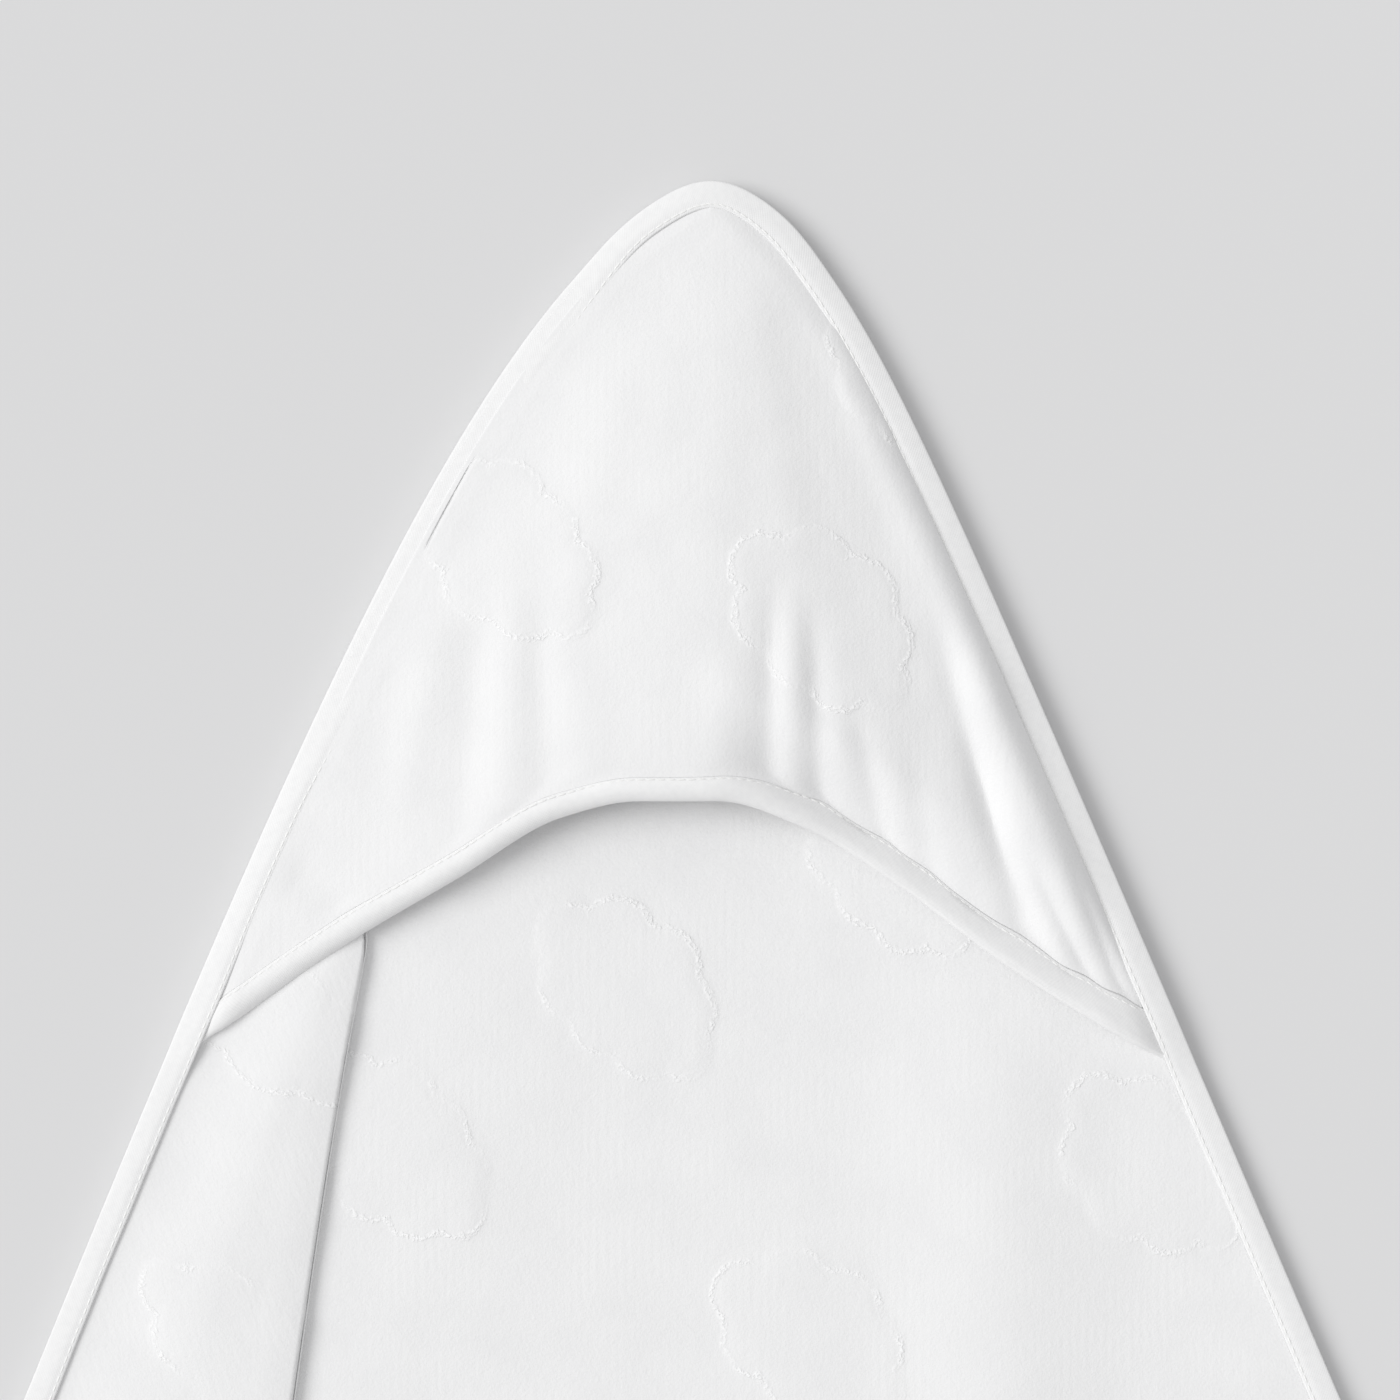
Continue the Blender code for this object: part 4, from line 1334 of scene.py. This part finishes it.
    def build(self) -> list[bpy.types.Object]:
        """Makes the panel, the mouth's tape and its stitches, and ties them to the hood."""
        share = np.linspace(0, 1, self.columns + 1)[None, :]
        share = mix(share, smooth(share), 0.35)
        t = np.linspace(0, 1 - 1.6 / (self.leg_drop - self.tip_drop), self.rows + 1)[:, None]
        share, t = np.broadcast_arrays(share, t)
        place = self.place(share, t)
        motif = self.clouds.distance(place[..., 0], place[..., 1], self.clouds.hood)
        near_seam = np.minimum(np.minimum(share, 1 - share) * 40, 1.0)
        motif = np.where(near_seam < 1, 40.0, motif)
        place[..., 2] += raised(motif, self.motif_height)
        lay = np.concatenate([place[..., :2], np.zeros_like(place[..., :1])], axis=-1) * MM
        points = self.layout.world(place[..., 0], place[..., 1], place[..., 2])
        thickness = 2 * self.half_at(share, np.ptp(place[..., 0], axis=1)[:, None])
        sheet = thick_sheet(points, thickness * MM, {"motif": motif, "lay": lay})
        parts = {
            "hood_panel": ("hood", sheet, VELOUR),
            "hood_mouth_tape": ("mouth_binding", self._tape(), TAPE),
            "hood_mouth_stitching": ("mouth_stitches", self._stitches(), THREAD),
        }
        pieces = []
        for cad_node, (name, bm, finish) in parts.items():
            piece = mesh_object(name, bm, material_of(finish))
            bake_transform(piece, "centre", "hood", start=(0.0, 0.0, 0.008), end=(0.0, 0.0, 0.034))
            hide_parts(cad_node)
            log.info("%s: %d faces", piece.name, len(piece.data.polygons))
            pieces.append(piece)
        return pieces

    def half_at(self, share: np.ndarray, width: np.ndarray | float) -> np.ndarray:
        """Half the hood's thickness: less where the seams press it."""
        from_edge = np.minimum(share, 1 - share) * width
        return self.thickness / 2 * mix(self.edge_thinning, 1.0, smooth(from_edge / self.press))

    def _rim(self, share: np.ndarray, back: np.ndarray) -> tuple[np.ndarray, np.ndarray]:
        """Places and upward directions on the hood, a distance back from its mouth."""
        near = 0.01
        climb = curve_through(self.mouth, share + near) - curve_through(self.mouth, share - near)
        slant = climb / (2 * near * self.mouth_width)
        steep = np.sqrt(1 + slant**2) * mix(1.0, 1.3, smooth((share - 0.5) / 0.2))
        t = 1 - back * steep / (self.leg_drop - self.tip_drop)
        share, t = np.broadcast_arrays(share, t)
        here = self.place(share, t)
        beside = self.place(np.clip(share + 0.002, 0, 1), t) - self.place(np.clip(share - 0.002, 0, 1), t)
        behind = self.place(share, t + 0.002) - self.place(share, t - 0.002)
        up = np.cross(beside, behind)
        up /= np.linalg.norm(up, axis=-1, keepdims=True)
        return here, up * np.where(up[..., 2:] < 0, -1.0, 1.0)

    def _tape(self) -> bmesh.types.BMesh:
        """Tape folded round the mouth's edge."""
        share = np.linspace(0.0, 1.0, 190)[:, None]
        back = np.array([9.0, 8.4, 7.6, 6.2, 4.6, 3.0, 1.5, 0.5])[None, :]
        lift = np.array([0.0, 0.26, 0.28, 0.5, 0.62, 0.65, 0.6, 0.5])[None, :]
        here, up = self._rim(share, back)
        half = self.half_at(share, self.mouth_width)
        lift = lift * smooth(np.minimum(share, 1 - share) / 0.03)
        puff = 0.2 * noise_at(here[..., :2], 12.0, 9.0)
        outer = here + up * (half + lift + puff * (back < 8.0))[..., None]
        edge, edge_up = self._rim(share, np.array([[0.0]]))
        forward = edge - self._rim(share, np.array([[1.0]]))[0]
        forward /= np.linalg.norm(forward, axis=-1, keepdims=True)
        turns = np.linspace(math.pi / 2, -math.pi / 2, 7)[1:-1][None, :, None]
        tip = edge + (forward * np.cos(turns) + edge_up * np.sin(turns)) * (half[..., None] + 0.55)
        below = here[:, ::-1] - up[:, ::-1] * (half[..., None] + 0.5)
        inner_back = np.array([[8.8, 1.8]])
        inside, inside_up = self._rim(share, inner_back)
        under = inside - inside_up * (half[..., None] - 0.05)
        over = (inside + inside_up * (half[..., None] - 0.05))[:, ::-1]
        section = np.concatenate([outer, tip, below, under, over], axis=1)
        run = np.cumsum(np.linalg.norm(np.diff(edge[:, 0], axis=0, prepend=edge[:1, 0]), axis=-1))
        across = np.cumsum(np.linalg.norm(np.diff(section, axis=1, prepend=section[:, :1]), axis=-1), axis=1)
        lay = np.stack([run[:, None] + 0 * across, across, 0 * across], axis=-1) * MM
        return swept_band(self.layout.world(section[..., 0], section[..., 1], section[..., 2]), False, lay)

    def _stitches(self) -> bmesh.types.BMesh:
        """The mouth tape's row of stitches."""
        share = np.linspace(0.015, 0.985, 700)[:, None]
        back = np.full_like(share, self.tape_width - 1.3)
        here, up = self._rim(share, back)
        spots = (here + up * (self.half_at(share, self.mouth_width) + 0.26)[..., None])[:, 0]
        run = np.concatenate([[0.0], np.cumsum(np.linalg.norm(np.diff(spots, axis=0), axis=1))])
        at = np.arange(0.0, run[-1], self.stitch_pitch)
        spots = np.stack([np.interp(at, run, spots[:, k]) for k in range(3)], axis=-1)
        spots = self.layout.world(spots[:, 0], spots[:, 1], spots[:, 2])
        bm = bmesh.new()
        for here_now, after in zip(spots, spots[1:]):
            add_stitch(bm, Vector(here_now), Vector(after), self.stitch_length, self.thread_radius)
        return bm


@dataclass
class CareLabel:
    """A blank ribbon label, folded in half and caught in the binding of the lower left edge."""

    width: float = 30.0
    ply: float = 0.35
    upper: float = 1.25
    lower: float = 0.15
    steps: int = 14
    turn_steps: int = 7
    columns: int = 13
    wave: float = 0.25

    def build(self) -> bpy.types.Object:
        """Makes the label along its CAD node's length and rides it on its body."""
        low, high = (Vector(corner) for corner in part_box("care_label"))
        joint = next(j for j in frame["record"]["behaviour"]["joints"] if j["name"] == "label_flip")
        axis, root = Vector(joint["axis"]).normalized(), Vector(joint["pos_m"])
        out = Vector((0, 0, 1)).cross(axis)
        if out.dot((low + high) / 2 - root) < 0:
            out = -out
        # What the box holds across is the label's reach and its slanting width.
        reach = (high.x - low.x - abs(axis.x) * self.width * MM) / abs(out.x) / MM
        line = self._profile(reach)
        run = np.concatenate([[0.0], np.cumsum(np.hypot(*np.diff(line, axis=0).T))])
        widths = np.linspace(-self.width / 2, self.width / 2, self.columns)
        on_top = line[:, 1:] > (self.upper + self.lower) / 2
        wave = self.wave * np.sin(line[:, :1] / 7.0) * on_top * np.cos(widths[None, :] / 9.0)
        points = (
            np.array([root.x, root.y, 0.0])
            + line[:, :1, None] * MM * np.array(out)
            + widths[None, :, None] * MM * np.array(axis)
            + (line[:, 1:] + wave)[..., None] * MM * np.array((0, 0, 1))
        )
        lay = np.stack(np.broadcast_arrays(run[:, None], widths[None, :], np.zeros((1, 1))), axis=-1) * MM
        label = mesh_object("label", thick_sheet(points, self.ply * MM, {"lay": lay}), material_of(LABEL))
        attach(label, "label")
        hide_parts("care_label")
        log.info("label: %.0f mm long when open", run[-1])
        return label

    def _profile(self, reach: float) -> np.ndarray:
        """(distance from the seam, height) along the folded ribbon, for how far it stands out."""
        radius, middle = (self.upper - self.lower) / 2, (self.upper + self.lower) / 2
        out = [(reach * k / self.steps, self.upper) for k in range(self.steps - 1)]
        angles = np.linspace(0, math.pi, self.turn_steps)
        turn = [(reach - radius + radius * math.sin(a), middle + radius * math.cos(a)) for a in angles]
        back = [(reach * k / self.steps, self.lower) for k in range(self.steps - 2, -1, -1)]
        return np.array(out + turn + back)


# ---------------------------------------------------------------- studio


@dataclass
class Studio:
    """The floor, the soft light from the upper left and the camera."""

    view_drop: float = 155.1
    view_x: float = -3.0
    view_width: float = 0.42
    lens: float = 100.0
    sensor: float = 36.0
    key_strength: float = 1.78
    key_angle: float = 38.0
    key_from: tuple[float, float, float] = (-0.73, 0.14, 0.67)
    sky: tuple[float, float, float] = (0.60, 0.60, 0.605)
    floor_size: float = 6.0
    floor_gap: float = 0.0001

    def build(self, layout: Layout) -> None:
        """Makes the floor, the lights and the camera."""
        bm = bmesh.new()
        bmesh.ops.create_grid(bm, x_segments=1, y_segments=1, size=self.floor_size)
        floor = mesh_object("floor", bm, material_of(PAPER))
        floor.data.transform(Matrix.Translation((0, 0, -self.floor_gap)))
        light = bpy.data.lights.new("softbox", "SUN")
        light.energy, light.angle = self.key_strength, math.radians(self.key_angle)
        lamp = bpy.data.objects.new("softbox", light)
        lamp.rotation_euler = Vector(self.key_from).to_track_quat("Z", "Y").to_euler()
        bpy.context.scene.collection.objects.link(lamp)
        world = bpy.data.worlds.new("room")
        world.use_nodes = True
        world.node_tree.nodes["Background"].inputs["Color"].default_value = (*self.sky, 1.0)
        bpy.context.scene.world = world
        bpy.context.scene.view_settings.view_transform = "Standard"
        camera = bpy.data.cameras.new("camera")
        camera.lens, camera.sensor_width = self.lens, self.sensor
        eye = bpy.data.objects.new("camera", camera)
        distance = self.view_width * self.lens / self.sensor
        eye.location = layout.world(self.view_x, self.view_drop, distance / MM)
        bpy.context.scene.collection.objects.link(eye)
        bpy.context.scene.camera = eye


def main() -> None:
    logging.basicConfig(level=logging.INFO, format="%(name)s: %(message)s")
    layout, outline, folds, clouds = Layout.from_frame(), TowelOutline(), SoftFolds(), Clouds()
    Studio().build(layout)
    panels = TowelCloth(layout, outline, folds, Pleat(), clouds).build()
    bindings = EdgeTape(layout, outline, folds).build()
    hood = Hood(layout, outline, clouds)
    hood_panel, *hood_trim = hood.build()
    CareLabel().build()
    for region, cloth in panels.items():
        cloth.flat
    width, depth = hood.flat


if __name__ == "__main__":
    main()
